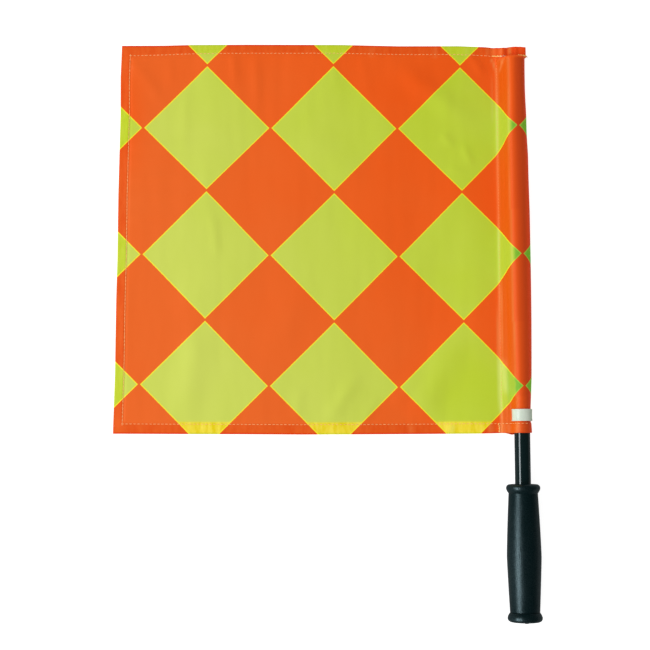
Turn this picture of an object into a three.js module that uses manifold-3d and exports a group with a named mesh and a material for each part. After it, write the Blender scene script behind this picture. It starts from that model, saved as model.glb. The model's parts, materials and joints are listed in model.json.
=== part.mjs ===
// A linesman's hand flag, lying face up as on a table: a moulded grip, a tube that turns in it,
// and a square cloth whose sleeve the tube holds. Sizes are in millimetres.
// The pole runs along +Y from the butt of the grip, the cloth lies towards -X and +Z is up.
import * as THREE from "three";
import { mergeVertices } from "three/addons/utils/BufferGeometryUtils.js";
import Module from "manifold-3d";

const wasm = await Module();
wasm.setup();

// Tube and the gaps round it
const TUBE_RADIUS = 7.5;
const TUBE_WALL = 1;
const EXPOSED_TUBE = 47.5;
const RUNNING_GAP = 0.3;
const FIT_GAP = 0.3;

// Grip
const GRIP_LENGTH = 131.5;
const MOUTH_NECK_WALL = 3.9;
const BUTT_NECK_WALL = 3.2;
const BELLY_RISE = 2.2;
const COLLAR_RISE = 2.4;
const MOUTH_COLLAR_LENGTH = 8.8;
const END_COLLAR_LENGTH = 8.6;
const END_DOME_HEIGHT = 2;
const BUTT_FLAT_RADIUS = 6;
const LIP_LENGTH = 2;
const LIP_GAP = 0.8;
const SHOULDER_STEP = 1;
const BELLY_PLACE_SHARE = 0.46;
const UPPER_TAPER_POWER = 1.3;
const LOWER_TAPER_POWER = 1.15;

// Bushes, plugs, screw and washer
const BUSH_WALL = 1.8;
const UPPER_BUSH_LENGTH = 16;
const LOWER_BUSH_LENGTH = 24;
const BUSH_FLOOR = 3;
const SPIGOT_LENGTH = 10.4;
const SPIGOT_WALL = 3;
const CAP_FLOOR = 4;
const PLUG_LENGTH = 16;
const PLUG_FLANGE = 1.5;
const PLUG_DOME = 2;
const SCREW_RADIUS = 2;
const SCREW_HEAD_RADIUS = 4;
const SCREW_HEAD_HEIGHT = 2.6;
const SCREW_LENGTH = 16;
const SCREW_TIP_ROOM = 1;
const SOCKET_RADIUS = 1.5;
const SOCKET_DEPTH = 1.6;
const WASHER_RADIUS = 5.5;
const WASHER_THICKNESS = 1;

// Cloth
const CLOTH_THICKNESS = 0.3;
const CLOTH_HEIGHT = 379;
const FLY_REACH_TOP = 384.5;
const FLY_REACH_BOTTOM = 390.5;
const HEM_WIDTH = 9.2;
const STITCH_INSET = 8.6;
const STEP_RUN = 0.5;
const CLOTH_GAP = 0.3;
const SEAM_DISTANCE = 18.6;
const SEAM_ALLOWANCE = 1.3;
const FOLD_GAP = 0.47;
const HEM_RELIEF = 4.6;
const DROP_RUN = 70;
const SLEEVE_SWELL = 2.2;
const CLOSURE_REACH = 11;
const CLOSURE_RISE = 5;
const TUBE_END_INSET = 14.4;
const FOOT_LEAVE_ANGLE = 175;
const CLIP_LEAVE_ANGLE = 190;
const HUG_RUN = 22;

// Clip
const CLIP_LENGTH = 11.3;
const CLIP_WALL = 1.2;
const CLIP_FOOT_GAP = 2.1;
const CLIP_OPEN_FROM = 185;
const CLIP_OPEN_TO = 265;
const CLIP_EDGE = 0.4;

// Threads
const THREAD_WIDTH = 0.5;
const THREAD_HEIGHT = 0.25;
const THREAD_GAP = 0.1;
const TACK_WIDTH = 1.2;
const TACK_INSET = 1.5;

// How finely round shapes are cut
const TURN_SIDES = 40;
const SMALL_SIDES = 24;
const BODY_STEPS = 11;
const LOOP_STEPS = 20;
const HUG_STEPS = 4;
const SWELL_STEPS = 8;
const DROP_STEPS = 7;
const SOCKET_SIDES = 6;
const BEVEL_STEPS = 2;
const NOSE_POINT_COUNT = 3;
const MERGE_SHARE = 1e-5;
const CUT_OVERRUN = 2;

// A collar's outline from its neck outwards: share of its length, then share of its rise
const COLLAR_OUTLINE_SHARES = [
  [0, 0], [0.1, 0.3], [0.24, 0.58], [0.38, 0.8], [0.5, 0.94],
  [0.62, 1], [0.74, 0.95], [0.85, 0.78], [0.95, 0.46], [1, 0],
];
// The butt's dome from its flat outwards: share of its reach, then share of its height
const DOME_OUTLINE_SHARES = [[0, 0], [0.45, 0.2], [0.8, 0.6]];
// The closed top of the sleeve: place along its run, as shares
const CLOSURE_SHARES = [0, 0.2, 0.4, 0.6, 0.8, 1];

// Radii that follow from the tube
const BUSH_BORE = TUBE_RADIUS + RUNNING_GAP;
const UPPER_BUSH_RADIUS = BUSH_BORE + BUSH_WALL;
const UPPER_BORE = UPPER_BUSH_RADIUS + FIT_GAP;
const LOWER_BORE = UPPER_BORE + SHOULDER_STEP;
const LOWER_BUSH_RADIUS = LOWER_BORE - FIT_GAP;
const MOUTH_NECK = UPPER_BORE + MOUTH_NECK_WALL;
const BUTT_NECK = LOWER_BORE + BUTT_NECK_WALL;
const BELLY_RADIUS = BUTT_NECK + BELLY_RISE;
const MOUTH_COLLAR_RADIUS = MOUTH_NECK + COLLAR_RISE;
const PLUG_RADIUS = TUBE_RADIUS - TUBE_WALL - FIT_GAP;
const SHANK_BORE = SCREW_RADIUS + RUNNING_GAP;

// Places along the pole, from the butt
const CAP_TOP = END_DOME_HEIGHT + END_COLLAR_LENGTH;
const SPIGOT_TOP = CAP_TOP + SPIGOT_LENGTH;
const GRIP_FOOT = CAP_TOP + FIT_GAP;
const LOWER_BUSH_FOOT = SPIGOT_TOP + FIT_GAP;
const LOWER_BUSH_TOP = LOWER_BUSH_FOOT + LOWER_BUSH_LENGTH;
const SHOULDER_PLACE = LOWER_BUSH_TOP + FIT_GAP;
const PLUG_FOOT = LOWER_BUSH_FOOT + BUSH_FLOOR + RUNNING_GAP;
const TUBE_FOOT = PLUG_FOOT + PLUG_FLANGE + FIT_GAP;
const WASHER_TOP = LOWER_BUSH_FOOT - RUNNING_GAP;
const HEAD_TOP = WASHER_TOP - WASHER_THICKNESS - FIT_GAP;
const LIP_FOOT = GRIP_LENGTH - LIP_LENGTH;
const UPPER_BUSH_TOP = LIP_FOOT - FIT_GAP;
const COLLAR_FOOT = GRIP_LENGTH - MOUTH_COLLAR_LENGTH;
const COLLAR_CREST_SHARE = COLLAR_OUTLINE_SHARES.find(([, rise]) => rise === 1)[0];
const COLLAR_CREST = COLLAR_FOOT + MOUTH_COLLAR_LENGTH * COLLAR_CREST_SHARE;
const CLOTH_FOOT = GRIP_LENGTH + EXPOSED_TUBE;
const CLOTH_TOP = CLOTH_FOOT + CLOTH_HEIGHT;
const PLUG_CROWN = CLOTH_TOP - TUBE_END_INSET;
const TUBE_TOP = PLUG_CROWN - PLUG_DOME - FIT_GAP;
const TOP_STITCH = CLOTH_TOP - STITCH_INSET;
const FOOT_STITCH = CLOTH_FOOT + STITCH_INSET;
const CLIP_FOOT = CLOTH_FOOT + HEM_WIDTH + CLIP_FOOT_GAP;
const CLIP_TOP = CLIP_FOOT + CLIP_LENGTH;
const HUG_FOOT = CLIP_TOP + CLIP_FOOT_GAP;
const HUG_TOP = HUG_FOOT + HUG_RUN;

// The sleeve's section, from the tube's axis
const SLEEVE_RADIUS = TUBE_RADIUS + CLOTH_GAP + CLOTH_THICKNESS;
const NOSE_DISTANCE = SEAM_DISTANCE + SEAM_ALLOWANCE;
const FOLD_DISTANCE = NOSE_DISTANCE + FOLD_GAP;
const PANEL_EDGE = FOLD_DISTANCE + FOLD_GAP;
const HEM_STEP = CLOTH_THICKNESS * 2;
const HEM_STACK = CLOTH_THICKNESS * 3;
const SEAM_STACK = CLOTH_THICKNESS * 2;

// The pole rests on the mouth collar's crest and on the top of the sleeve
const LIE_ANGLE = Math.atan((MOUTH_COLLAR_RADIUS - SLEEVE_RADIUS) / (CLOTH_TOP - COLLAR_CREST));
const BUTT_HEIGHT = MOUTH_COLLAR_RADIUS * Math.cos(LIE_ANGLE) + COLLAR_CREST * Math.sin(LIE_ANGLE);

// Turns a closed surface's faces outward, with its shared corners joined.
function closed(geometry) {
  const bare = geometry.clone();
  bare.deleteAttribute("normal");
  bare.deleteAttribute("uv");
  const joined = mergeVertices(bare, TUBE_RADIUS * MERGE_SHARE);
  const index = joined.index.array;
  const corner = [new THREE.Vector3(), new THREE.Vector3(), new THREE.Vector3()];
  let volume = 0;
  for (let i = 0; i < index.length; i += 3) {
    corner.forEach((point, k) => point.fromBufferAttribute(joined.attributes.position, index[i + k]));
    volume += corner[0].dot(corner[1].cross(corner[2]));
  }
  if (volume < 0) {
    for (let i = 0; i < index.length; i += 3) {
      [index[i], index[i + 1]] = [index[i + 1], index[i]];
    }
  }
  return joined;
}

// A closed surface as a solid that can be cut.
function solid(geometry) {
  const joined = closed(geometry);
  return new wasm.Manifold(new wasm.Mesh({
    numProp: 3,
    vertProperties: new Float32Array(joined.attributes.position.array),
    triVerts: new Uint32Array(joined.index.array),
  }));
}

// A cut solid back as a surface.
function surface(body) {
  const made = body.getMesh();
  const geometry = new THREE.BufferGeometry();
  geometry.setAttribute("position", new THREE.BufferAttribute(new Float32Array(made.vertProperties), 3));
  geometry.setIndex(new THREE.BufferAttribute(new Uint32Array(made.triVerts), 1));
  geometry.computeVertexNormals();
  return geometry;
}

// A turned piece from its outline of [radius, place along the pole] points.
function turned(outline, sides = TURN_SIDES) {
  const points = outline.map(([radius, along]) => new THREE.Vector2(radius, along));
  return closed(new THREE.LatheGeometry(points, sides));
}

// A turned piece with a hole through it: the outline closes on itself.
function turnedRing(outline, sides = TURN_SIDES) {
  return turned([...outline, outline[0]], sides);
}

// A closed surface through rings of equally many points, with a flat face at each end.
// Each end face is a ladder of triangles between the ring's first and last points, inwards.
function lofted(rings) {
  const count = rings[0].length;
  const positions = rings.flat(2);
  const index = [];
  for (let i = 0; i + 1 < rings.length; i += 1) {
    for (let k = 0; k < count; k += 1) {
      const here = i * count + k;
      const next = i * count + ((k + 1) % count);
      index.push(here, next, next + count, here, next + count, here + count);
    }
  }
  const last = (rings.length - 1) * count;
  for (let low = 0, high = count - 1; high - low > 1; low += 1, high -= 1) {
    index.push(low + 1, low, high, last + low, last + low + 1, last + high);
    if (high - low > 2) {
      index.push(high - 1, low + 1, high, last + low + 1, last + high - 1, last + high);
    }
  }
  const geometry = new THREE.BufferGeometry();
  geometry.setAttribute("position", new THREE.Float32BufferAttribute(positions, 3));
  geometry.setIndex(index);
  return closed(geometry);
}

// A sheet between a lower and an upper grid of points, given as rows of equal length.
function sheet(lower, upper) {
  const rows = lower.length;
  const columns = lower[0].length;
  const positions = [...lower.flat(2), ...upper.flat(2)];
  const at = (top, row, column) => (top * rows + row) * columns + column;
  const index = [];
  const quad = (a, b, c, d) => index.push(a, b, c, a, c, d);
  for (let r = 0; r + 1 < rows; r += 1) {
    for (let c = 0; c + 1 < columns; c += 1) {
      quad(at(1, r, c), at(1, r, c + 1), at(1, r + 1, c + 1), at(1, r + 1, c));
      quad(at(0, r, c), at(0, r + 1, c), at(0, r + 1, c + 1), at(0, r, c + 1));
    }
    quad(at(0, r + 1, 0), at(0, r, 0), at(1, r, 0), at(1, r + 1, 0));
    quad(at(0, r, columns - 1), at(0, r + 1, columns - 1), at(1, r + 1, columns - 1), at(1, r, columns - 1));
  }
  for (let c = 0; c + 1 < columns; c += 1) {
    quad(at(0, 0, c), at(0, 0, c + 1), at(1, 0, c + 1), at(1, 0, c));
    quad(at(0, rows - 1, c + 1), at(0, rows - 1, c), at(1, rows - 1, c), at(1, rows - 1, c + 1));
  }
  const geometry = new THREE.BufferGeometry();
  geometry.setAttribute("position", new THREE.Float32BufferAttribute(positions, 3));
  geometry.setIndex(index);
  return closed(geometry);
}

// A flat thread laid along points: each has its place, the way up from the cloth and the way across.
function threadStrip(stations, width = THREAD_WIDTH) {
  const side = (station, gap, share) => station.place.clone()
    .addScaledVector(station.up, gap)
    .addScaledVector(station.across, width * share)
    .toArray();
  const row = (gap) => stations.map((station) => [side(station, gap, -1 / 2), side(station, gap, 1 / 2)]);
  return sheet(row(THREAD_GAP), row(THREAD_GAP + THREAD_HEIGHT));
}

function named(name, geometry, material) {
  geometry.computeVertexNormals();
  const mesh = new THREE.Mesh(geometry, material);
  mesh.name = name;
  return mesh;
}

function finish(color, roughness, metalness = 0) {
  return new THREE.MeshStandardMaterial({ color, roughness, metalness });
}

// The collar's outline between a neck radius and its crest, from the neck to its far end.
function collarOutline(neck, from, to) {
  return COLLAR_OUTLINE_SHARES.map(([along, rise]) => [
    neck + COLLAR_RISE * rise,
    from + (to - from) * along,
  ]);
}

// The barrel's radius at a place between the end cap and the mouth collar.
function barrelRadius(along) {
  const belly = GRIP_FOOT + (COLLAR_FOOT - GRIP_FOOT) * BELLY_PLACE_SHARE;
  if (along < belly) {
    return BELLY_RADIUS - BELLY_RISE * ((belly - along) / (belly - GRIP_FOOT)) ** LOWER_TAPER_POWER;
  }
  const fall = ((along - belly) / (COLLAR_FOOT - belly)) ** UPPER_TAPER_POWER;
  return BELLY_RADIUS - (BELLY_RADIUS - MOUTH_NECK) * fall;
}

// Barrel grip with its mouth collar, the lip that keeps the upper bush in and a stepped bore.
function makeGrip() {
  const barrel = [];
  for (let i = 0; i < BODY_STEPS; i += 1) {
    const along = GRIP_FOOT + (COLLAR_FOOT - GRIP_FOOT) * i / BODY_STEPS;
    barrel.push([barrelRadius(along), along]);
  }
  const lipBore = TUBE_RADIUS + LIP_GAP;
  return turnedRing([
    [LOWER_BORE, GRIP_FOOT],
    ...barrel,
    ...collarOutline(MOUTH_NECK, COLLAR_FOOT, GRIP_LENGTH),
    [lipBore, GRIP_LENGTH],
    [lipBore, LIP_FOOT],
    [UPPER_BORE, LIP_FOOT],
    [UPPER_BORE, SHOULDER_PLACE],
    [LOWER_BORE, SHOULDER_PLACE],
  ]);
}

// Butt cap: a shallow dome with a flat centre, the end collar and a hollow spigot in the grip's bore.
function makeEndCap() {
  const reach = BUTT_NECK - BUTT_FLAT_RADIUS;
  const dome = DOME_OUTLINE_SHARES.map(([along, rise]) => [
    BUTT_FLAT_RADIUS + reach * along,
    END_DOME_HEIGHT * rise,
  ]);
  const collar = collarOutline(BUTT_NECK, CAP_TOP, END_DOME_HEIGHT).reverse();
  const pocket = LOWER_BUSH_RADIUS - SPIGOT_WALL;
  return turned([
    [0, 0],
    ...dome,
    ...collar,
    [LOWER_BUSH_RADIUS, CAP_TOP],
    [LOWER_BUSH_RADIUS, SPIGOT_TOP],
    [pocket, SPIGOT_TOP],
    [pocket, CAP_FLOOR],
    [0, CAP_FLOOR],
  ]);
}

function makeUpperBush() {
  const foot = UPPER_BUSH_TOP - UPPER_BUSH_LENGTH;
  return turnedRing([
    [BUSH_BORE, foot],
    [UPPER_BUSH_RADIUS, foot],
    [UPPER_BUSH_RADIUS, UPPER_BUSH_TOP],
    [BUSH_BORE, UPPER_BUSH_TOP],
  ]);
}

// Cup under the tube's foot, with a hole for the screw in its floor.
function makeLowerBush() {
  const floor = LOWER_BUSH_FOOT + BUSH_FLOOR;
  return turnedRing([
    [SHANK_BORE, LOWER_BUSH_FOOT],
    [LOWER_BUSH_RADIUS, LOWER_BUSH_FOOT],
    [LOWER_BUSH_RADIUS, LOWER_BUSH_TOP],
    [BUSH_BORE, LOWER_BUSH_TOP],
    [BUSH_BORE, floor],
    [SHANK_BORE, floor],
  ]);
}

function makeTube() {
  const bore = TUBE_RADIUS - TUBE_WALL;
  return turnedRing([
    [bore, TUBE_FOOT],
    [TUBE_RADIUS, TUBE_FOOT],
    [TUBE_RADIUS, TUBE_TOP],
    [bore, TUBE_TOP],
  ]);
}

// Plug in the tube's foot, bored from below for the screw.
function makeFootPlug() {
  const flangeTop = PLUG_FOOT + PLUG_FLANGE;
  const boreTop = HEAD_TOP + SCREW_LENGTH + SCREW_TIP_ROOM;
  const plugTop = Math.max(TUBE_FOOT + PLUG_LENGTH, boreTop + SCREW_TIP_ROOM);
  return turned([
    [0, boreTop],
    [SHANK_BORE, boreTop],
    [SHANK_BORE, PLUG_FOOT],
    [TUBE_RADIUS, PLUG_FOOT],
    [TUBE_RADIUS, flangeTop],
    [PLUG_RADIUS, flangeTop],
    [PLUG_RADIUS, plugTop],
    [0, plugTop],
  ], SMALL_SIDES);
}

// Plug in the tube's top, with a rounded head that spares the cloth.
function makeTopPlug() {
  const headFoot = TUBE_TOP + FIT_GAP;
  const steps = SMALL_SIDES / 4;
  const head = [];
  for (let i = 0; i < steps; i += 1) {
    const turn = Math.PI / 2 * i / steps;
    head.push([TUBE_RADIUS * Math.cos(turn), headFoot + PLUG_DOME * Math.sin(turn)]);
  }
  return turned([
    [0, TUBE_TOP - PLUG_LENGTH],
    [PLUG_RADIUS, TUBE_TOP - PLUG_LENGTH],
    [PLUG_RADIUS, headFoot],
    ...head,
    [0, PLUG_CROWN],
  ], SMALL_SIDES);
}

function makeWasher() {
  const foot = WASHER_TOP - WASHER_THICKNESS;
  return turnedRing([
    [SHANK_BORE, foot],
    [WASHER_RADIUS, foot],
    [WASHER_RADIUS, WASHER_TOP],
    [SHANK_BORE, WASHER_TOP],
  ], SMALL_SIDES);
}

// Screw with a six-sided socket in its head, which faces the butt.
function makeScrew() {
  const headFoot = HEAD_TOP - SCREW_HEAD_HEIGHT;
  const body = solid(turned([
    [0, headFoot],
    [SCREW_HEAD_RADIUS, headFoot],
    [SCREW_HEAD_RADIUS, HEAD_TOP],
    [SCREW_RADIUS, HEAD_TOP],
    [SCREW_RADIUS, HEAD_TOP + SCREW_LENGTH],
    [0, HEAD_TOP + SCREW_LENGTH],
  ], SMALL_SIDES));
  const depth = SOCKET_DEPTH + CUT_OVERRUN;
  const socket = new THREE.CylinderGeometry(SOCKET_RADIUS, SOCKET_RADIUS, depth, SOCKET_SIDES);
  socket.translate(0, headFoot + SOCKET_DEPTH - depth / 2, 0);
  return surface(body.subtract(solid(socket)));
}

// The angle at which a straight layer from a point left of the tube meets a circle round its axis.
function tangentAngle(x, z, radius) {
  const distance = Math.hypot(x, z);
  const slope = Math.atan2(-z, -x) + Math.asin(radius / distance);
  return THREE.MathUtils.radToDeg(slope) + 90;
}

function smooth(share) {
  const held = THREE.MathUtils.clamp(share, 0, 1);
  return held * held * (3 - 2 * held);
}

// Where the top layer leaves the tube at a place along it: by itself on a tangent, and later under the clip.
function leaveAngle(along, free) {
  if (along < CLIP_FOOT) {
    return THREE.MathUtils.mapLinear(along, CLOTH_FOOT, CLIP_FOOT, FOOT_LEAVE_ANGLE, CLIP_LEAVE_ANGLE);
  }
  return THREE.MathUtils.lerp(CLIP_LEAVE_ANGLE, free, smooth((along - HUG_FOOT) / HUG_RUN));
}

// How far the sleeve stands off the tube's right side.
function swellAt(along) {
  const share = (along - HUG_FOOT) / (PLUG_CROWN - HUG_FOOT);
  return SLEEVE_SWELL * Math.sin(Math.PI * THREE.MathUtils.clamp(share, 0, 1));
}

// One loop of the sleeve at a place along the pole, outside or inside its layers.
// The closed share draws it down from the round tube to the flat band that the top hem makes.
function sleeveLoop(along, inside, closedShare = 0) {
  const inset = inside ? CLOTH_THICKNESS : 0;
  const hem = !inside && along < CLOTH_FOOT + HEM_WIDTH + STEP_RUN / 2 ? HEM_STEP : 0;
  const radius = SLEEVE_RADIUS - inset + hem;
  const floor = -SLEEVE_RADIUS;
  const startX = inside ? -SEAM_DISTANCE + CLOTH_THICKNESS : -SEAM_DISTANCE;
  const startZ = inside ? floor + inset : floor + SEAM_STACK;
  const leave = leaveAngle(along, tangentAngle(startX, startZ, radius));
  const swell = swellAt(along);
  const round = inside ? [] : [[-NOSE_DISTANCE, floor], [-NOSE_DISTANCE, startZ]];
  round.push([startX, startZ]);
  for (let i = 0; i <= LOOP_STEPS; i += 1) {
    const turn = THREE.MathUtils.degToRad(leave - (leave + 90) * i / LOOP_STEPS);
    const standOff = swell * Math.max(Math.cos(turn), 0) ** 2;
    round.push([radius * Math.cos(turn) + standOff, radius * Math.sin(turn)]);
  }
  if (!inside) {
    round.push([-SEAM_DISTANCE, floor]);
  }
  const reach = CLOSURE_REACH - inset;
  const band = (x) => floor + CLOSURE_RISE * (x + SEAM_DISTANCE) / (CLOSURE_REACH + SEAM_DISTANCE);
  const wall = inside ? HEM_STACK - inset : 0;
  const half = LOOP_STEPS / 2;
  const flatX = (i) => (i <= half
    ? THREE.MathUtils.mapLinear(i, 0, half, -SLEEVE_RADIUS, reach)
    : THREE.MathUtils.mapLinear(i, half + 1, LOOP_STEPS, reach, 0));
  const skip = inside ? 1 : NOSE_POINT_COUNT;
  return round.map(([x, z], k) => {
    const i = k - skip;
    if (i < 0 || i > LOOP_STEPS) {
      return [x, along, z];
    }
    const flatPlace = flatX(i);
    const flatZ = band(flatPlace) + (i <= half ? 2 * HEM_STACK - wall : wall);
    return [
      THREE.MathUtils.lerp(x, flatPlace, closedShare),
      along,
      THREE.MathUtils.lerp(z, flatZ, closedShare),
    ];
  });
}

// Places along the sleeve where its section is drawn: [place, closed share].
function sleeveStations() {
  const hemEnd = CLOTH_FOOT + HEM_WIDTH;
  const stations = [CLOTH_FOOT, hemEnd, hemEnd + STEP_RUN, CLIP_FOOT, HUG_FOOT].map((along) => [along, 0]);
  for (let i = 1; i <= HUG_STEPS; i += 1) {
    stations.push([THREE.MathUtils.mapLinear(i, 0, HUG_STEPS, HUG_FOOT, HUG_TOP), 0]);
  }
  for (let i = 1; i <= SWELL_STEPS; i += 1) {
    stations.push([THREE.MathUtils.mapLinear(i, 0, SWELL_STEPS, HUG_TOP, PLUG_CROWN), 0]);
  }
  for (const share of CLOSURE_SHARES) {
    const place = THREE.MathUtils.lerp(PLUG_CROWN + FIT_GAP, TOP_STITCH - THREAD_WIDTH, share);
    stations.push([place, smooth(share)]);
  }
  return stations;
}

// The sleeve: two layers round the tube, open at its foot and sewn flat at its top.
function makeSleeve() {
  const stations = sleeveStations();
  const outer = stations.map(([along, share]) => sleeveLoop(along, false, share));
  outer.push(sleeveLoop(CLOTH_TOP, false, 1));
  const inner = stations.map(([along, share]) => sleeveLoop(along, true, share));
  inner.unshift(inner[0].map(([x, along, z]) => [x, along - CUT_OVERRUN, z]));
  return surface(solid(lofted(outer)).subtract(solid(lofted(inner))));
}

// How far the sleeve's underside stands above the table at a place along the table.
function liftAt(y) {
  const end = CLOTH_TOP * Math.cos(LIE_ANGLE) - SLEEVE_RADIUS * Math.sin(LIE_ANGLE);
  return Math.max(0, (end - y) * Math.tan(LIE_ANGLE));
}

// The panel's underside: flat on the table, and lifted along the pole.
function undersideAt(x, y) {
  return liftAt(y) * smooth((x + PANEL_EDGE + DROP_RUN) / DROP_RUN);
}

function onTable(along) {
  return along * Math.cos(LIE_ANGLE) - SLEEVE_RADIUS * Math.sin(LIE_ANGLE);
}

function flyEdge(y) {
  const share = (y - onTable(CLOTH_FOOT)) / (onTable(CLOTH_TOP) - onTable(CLOTH_FOOT));
  return -THREE.MathUtils.lerp(FLY_REACH_BOTTOM, FLY_REACH_TOP, share);
}

// Share of the hem's extra layers at a distance from the edge.
function hemShare(distance) {
  return THREE.MathUtils.clamp((HEM_WIDTH + STEP_RUN - distance) / STEP_RUN, 0, 1);
}

// The panel's thickness: a single layer, and a turned hem along its three free edges.
function thicknessAt(x, y) {
  const edge = Math.min(y - onTable(CLOTH_FOOT), onTable(CLOTH_TOP) - y);
  const relief = THREE.MathUtils.clamp((-x - PANEL_EDGE - HEM_RELIEF + STEP_RUN) / STEP_RUN, 0, 1);
  const share = Math.max(hemShare(edge) * relief, hemShare(x - flyEdge(y)));
  return CLOTH_THICKNESS + HEM_STEP * share;
}

// The cloth from the fly hem to the fold beside the sleeve.
function makePanel() {
  const foot = onTable(CLOTH_FOOT);
  const top = onTable(CLOTH_TOP);
  const rows = [
    foot, foot + HEM_WIDTH, foot + HEM_WIDTH + STEP_RUN,
    top - HEM_WIDTH - STEP_RUN, top - HEM_WIDTH, top,
  ];
  const columns = [
    flyEdge,
    (y) => flyEdge(y) + HEM_WIDTH,
    (y) => flyEdge(y) + HEM_WIDTH + STEP_RUN,
  ];
  for (let i = 0; i < DROP_STEPS; i += 1) {
    columns.push(() => -PANEL_EDGE - DROP_RUN + (DROP_RUN - HEM_RELIEF) * i / DROP_STEPS);
  }
  columns.push(() => -PANEL_EDGE - HEM_RELIEF);
  columns.push(() => -PANEL_EDGE - HEM_RELIEF + STEP_RUN);
  columns.push(() => -PANEL_EDGE);
  const lower = rows.map((y) => columns.map((column) => [column(y), y, undersideAt(column(y), y)]));
  const upper = lower.map((row) => row.map(([x, y, z]) => [x, y, z + thicknessAt(x, y)]));
  return sheet(lower, upper);
}

const UP = new THREE.Vector3(0, 0, 1);
const ACROSS_ROW = new THREE.Vector3(0, 1, 0);
const ALONG_ROW = new THREE.Vector3(1, 0, 0);

function panelPoint(x, y) {
  return new THREE.Vector3(x, y, undersideAt(x, y) + thicknessAt(x, y));
}

// A row of stitches on the panel, parallel to its top or bottom edge.
function makePanelRow(y) {
  const from = flyEdge(y) + STITCH_INSET + THREAD_WIDTH;
  const to = -PANEL_EDGE - HEM_RELIEF;
  const places = [from, -PANEL_EDGE - DROP_RUN];
  for (let i = 1; i <= DROP_STEPS; i += 1) {
    places.push(THREE.MathUtils.mapLinear(i, 0, DROP_STEPS, -PANEL_EDGE - DROP_RUN, to));
  }
  return threadStrip(places.map((x) => ({ place: panelPoint(x, y), up: UP, across: ACROSS_ROW })));
}

function makeFlyRow() {
  const ends = [onTable(FOOT_STITCH), onTable(TOP_STITCH)];
  return threadStrip(ends.map((y) => ({
    place: panelPoint(flyEdge(y) + STITCH_INSET, y),
    up: UP,
    across: ALONG_ROW.clone().negate(),
  })));
}

// Stitches across the closed top of the sleeve.
function makeClosureRow() {
  const slope = Math.atan(CLOSURE_RISE / (CLOSURE_REACH + SEAM_DISTANCE));
  const up = new THREE.Vector3(-Math.sin(slope), 0, Math.cos(slope));
  const top = (x) => -SLEEVE_RADIUS + Math.tan(slope) * (x + SEAM_DISTANCE) + 2 * HEM_STACK;
  const places = [-SLEEVE_RADIUS, CLOSURE_REACH - THREAD_WIDTH];
  return threadStrip(places.map((x) => ({
    place: new THREE.Vector3(x, TOP_STITCH, top(x)),
    up,
    across: ACROSS_ROW,
  })));
}

// Stitches round the hemmed mouth of the sleeve, over its top, its right side and its underside.
function makeFootRow() {
  const loop = sleeveLoop(FOOT_STITCH, false).slice(NOSE_POINT_COUNT, NOSE_POINT_COUNT + LOOP_STEPS + 1);
  return threadStrip(loop.map(([x, y, z], i) => {
    const before = loop[Math.max(i - 1, 0)];
    const after = loop[Math.min(i + 1, loop.length - 1)];
    const up = new THREE.Vector3(before[2] - after[2], 0, after[0] - before[0]).normalize();
    return { place: new THREE.Vector3(x, y, z), up, across: ACROSS_ROW };
  }));
}

// Stitches that join the two layers beside the pole, above the tack at its foot.
function makeSeamRow() {
  const z = -SLEEVE_RADIUS + SEAM_STACK;
  const x = -SEAM_DISTANCE - THREAD_WIDTH;
  const ends = [FOOT_STITCH + TACK_INSET, TOP_STITCH];
  return threadStrip(ends.map((y) => ({
    place: new THREE.Vector3(x, y, z),
    up: UP,
    across: ALONG_ROW.clone().negate(),
  })));
}

function makeBarTack() {
  const z = -SLEEVE_RADIUS + SEAM_STACK;
  const x = -SEAM_DISTANCE - THREAD_WIDTH;
  const ends = [CLOTH_FOOT + TACK_INSET, FOOT_STITCH];
  return threadStrip(ends.map((y) => ({
    place: new THREE.Vector3(x, y, z),
    up: UP,
    across: ALONG_ROW.clone().negate(),
  })), TACK_WIDTH);
}

// Spring clip round the sleeve, open at the lower left where both layers leave the tube.
function makeClip() {
  const inner = SLEEVE_RADIUS + FIT_GAP;
  const outer = inner + CLIP_WALL;
  const from = THREE.MathUtils.degToRad(CLIP_OPEN_FROM);
  const to = THREE.MathUtils.degToRad(CLIP_OPEN_TO);
  const outline = new THREE.Shape();
  outline.absarc(0, 0, outer - CLIP_EDGE, from, to, true);
  outline.absarc(0, 0, inner, to, from, false);
  outline.closePath();
  const geometry = new THREE.ExtrudeGeometry(outline, {
    depth: CLIP_LENGTH - 2 * CLIP_EDGE,
    bevelEnabled: true,
    bevelThickness: CLIP_EDGE,
    bevelSize: CLIP_EDGE,
    bevelSegments: BEVEL_STEPS,
    curveSegments: SMALL_SIDES,
  });
  geometry.rotateX(Math.PI / 2);
  geometry.translate(0, CLIP_TOP - CLIP_EDGE, 0);
  const core = new THREE.CylinderGeometry(inner, inner, CLIP_LENGTH + 2 * CUT_OVERRUN, TURN_SIDES);
  core.translate(0, (CLIP_FOOT + CLIP_TOP) / 2, 0);
  return surface(solid(geometry).subtract(solid(core)));
}

const gripBlack = finish(0x14211f, 0.6);
const tubeBlack = finish(0x0a1416, 0.25);
const bushGrey = finish(0x8d9194, 0.5);
const steel = finish(0xb8bcc0, 0.35, 1);
const plugBlack = finish(0x1b1f20, 0.5);
const clipWhite = finish(0xe6ebe2, 0.35);
const clothOrange = finish(0xe85e20, 0.8);
const threadYellow = finish(0xf0b455, 0.8);

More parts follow.
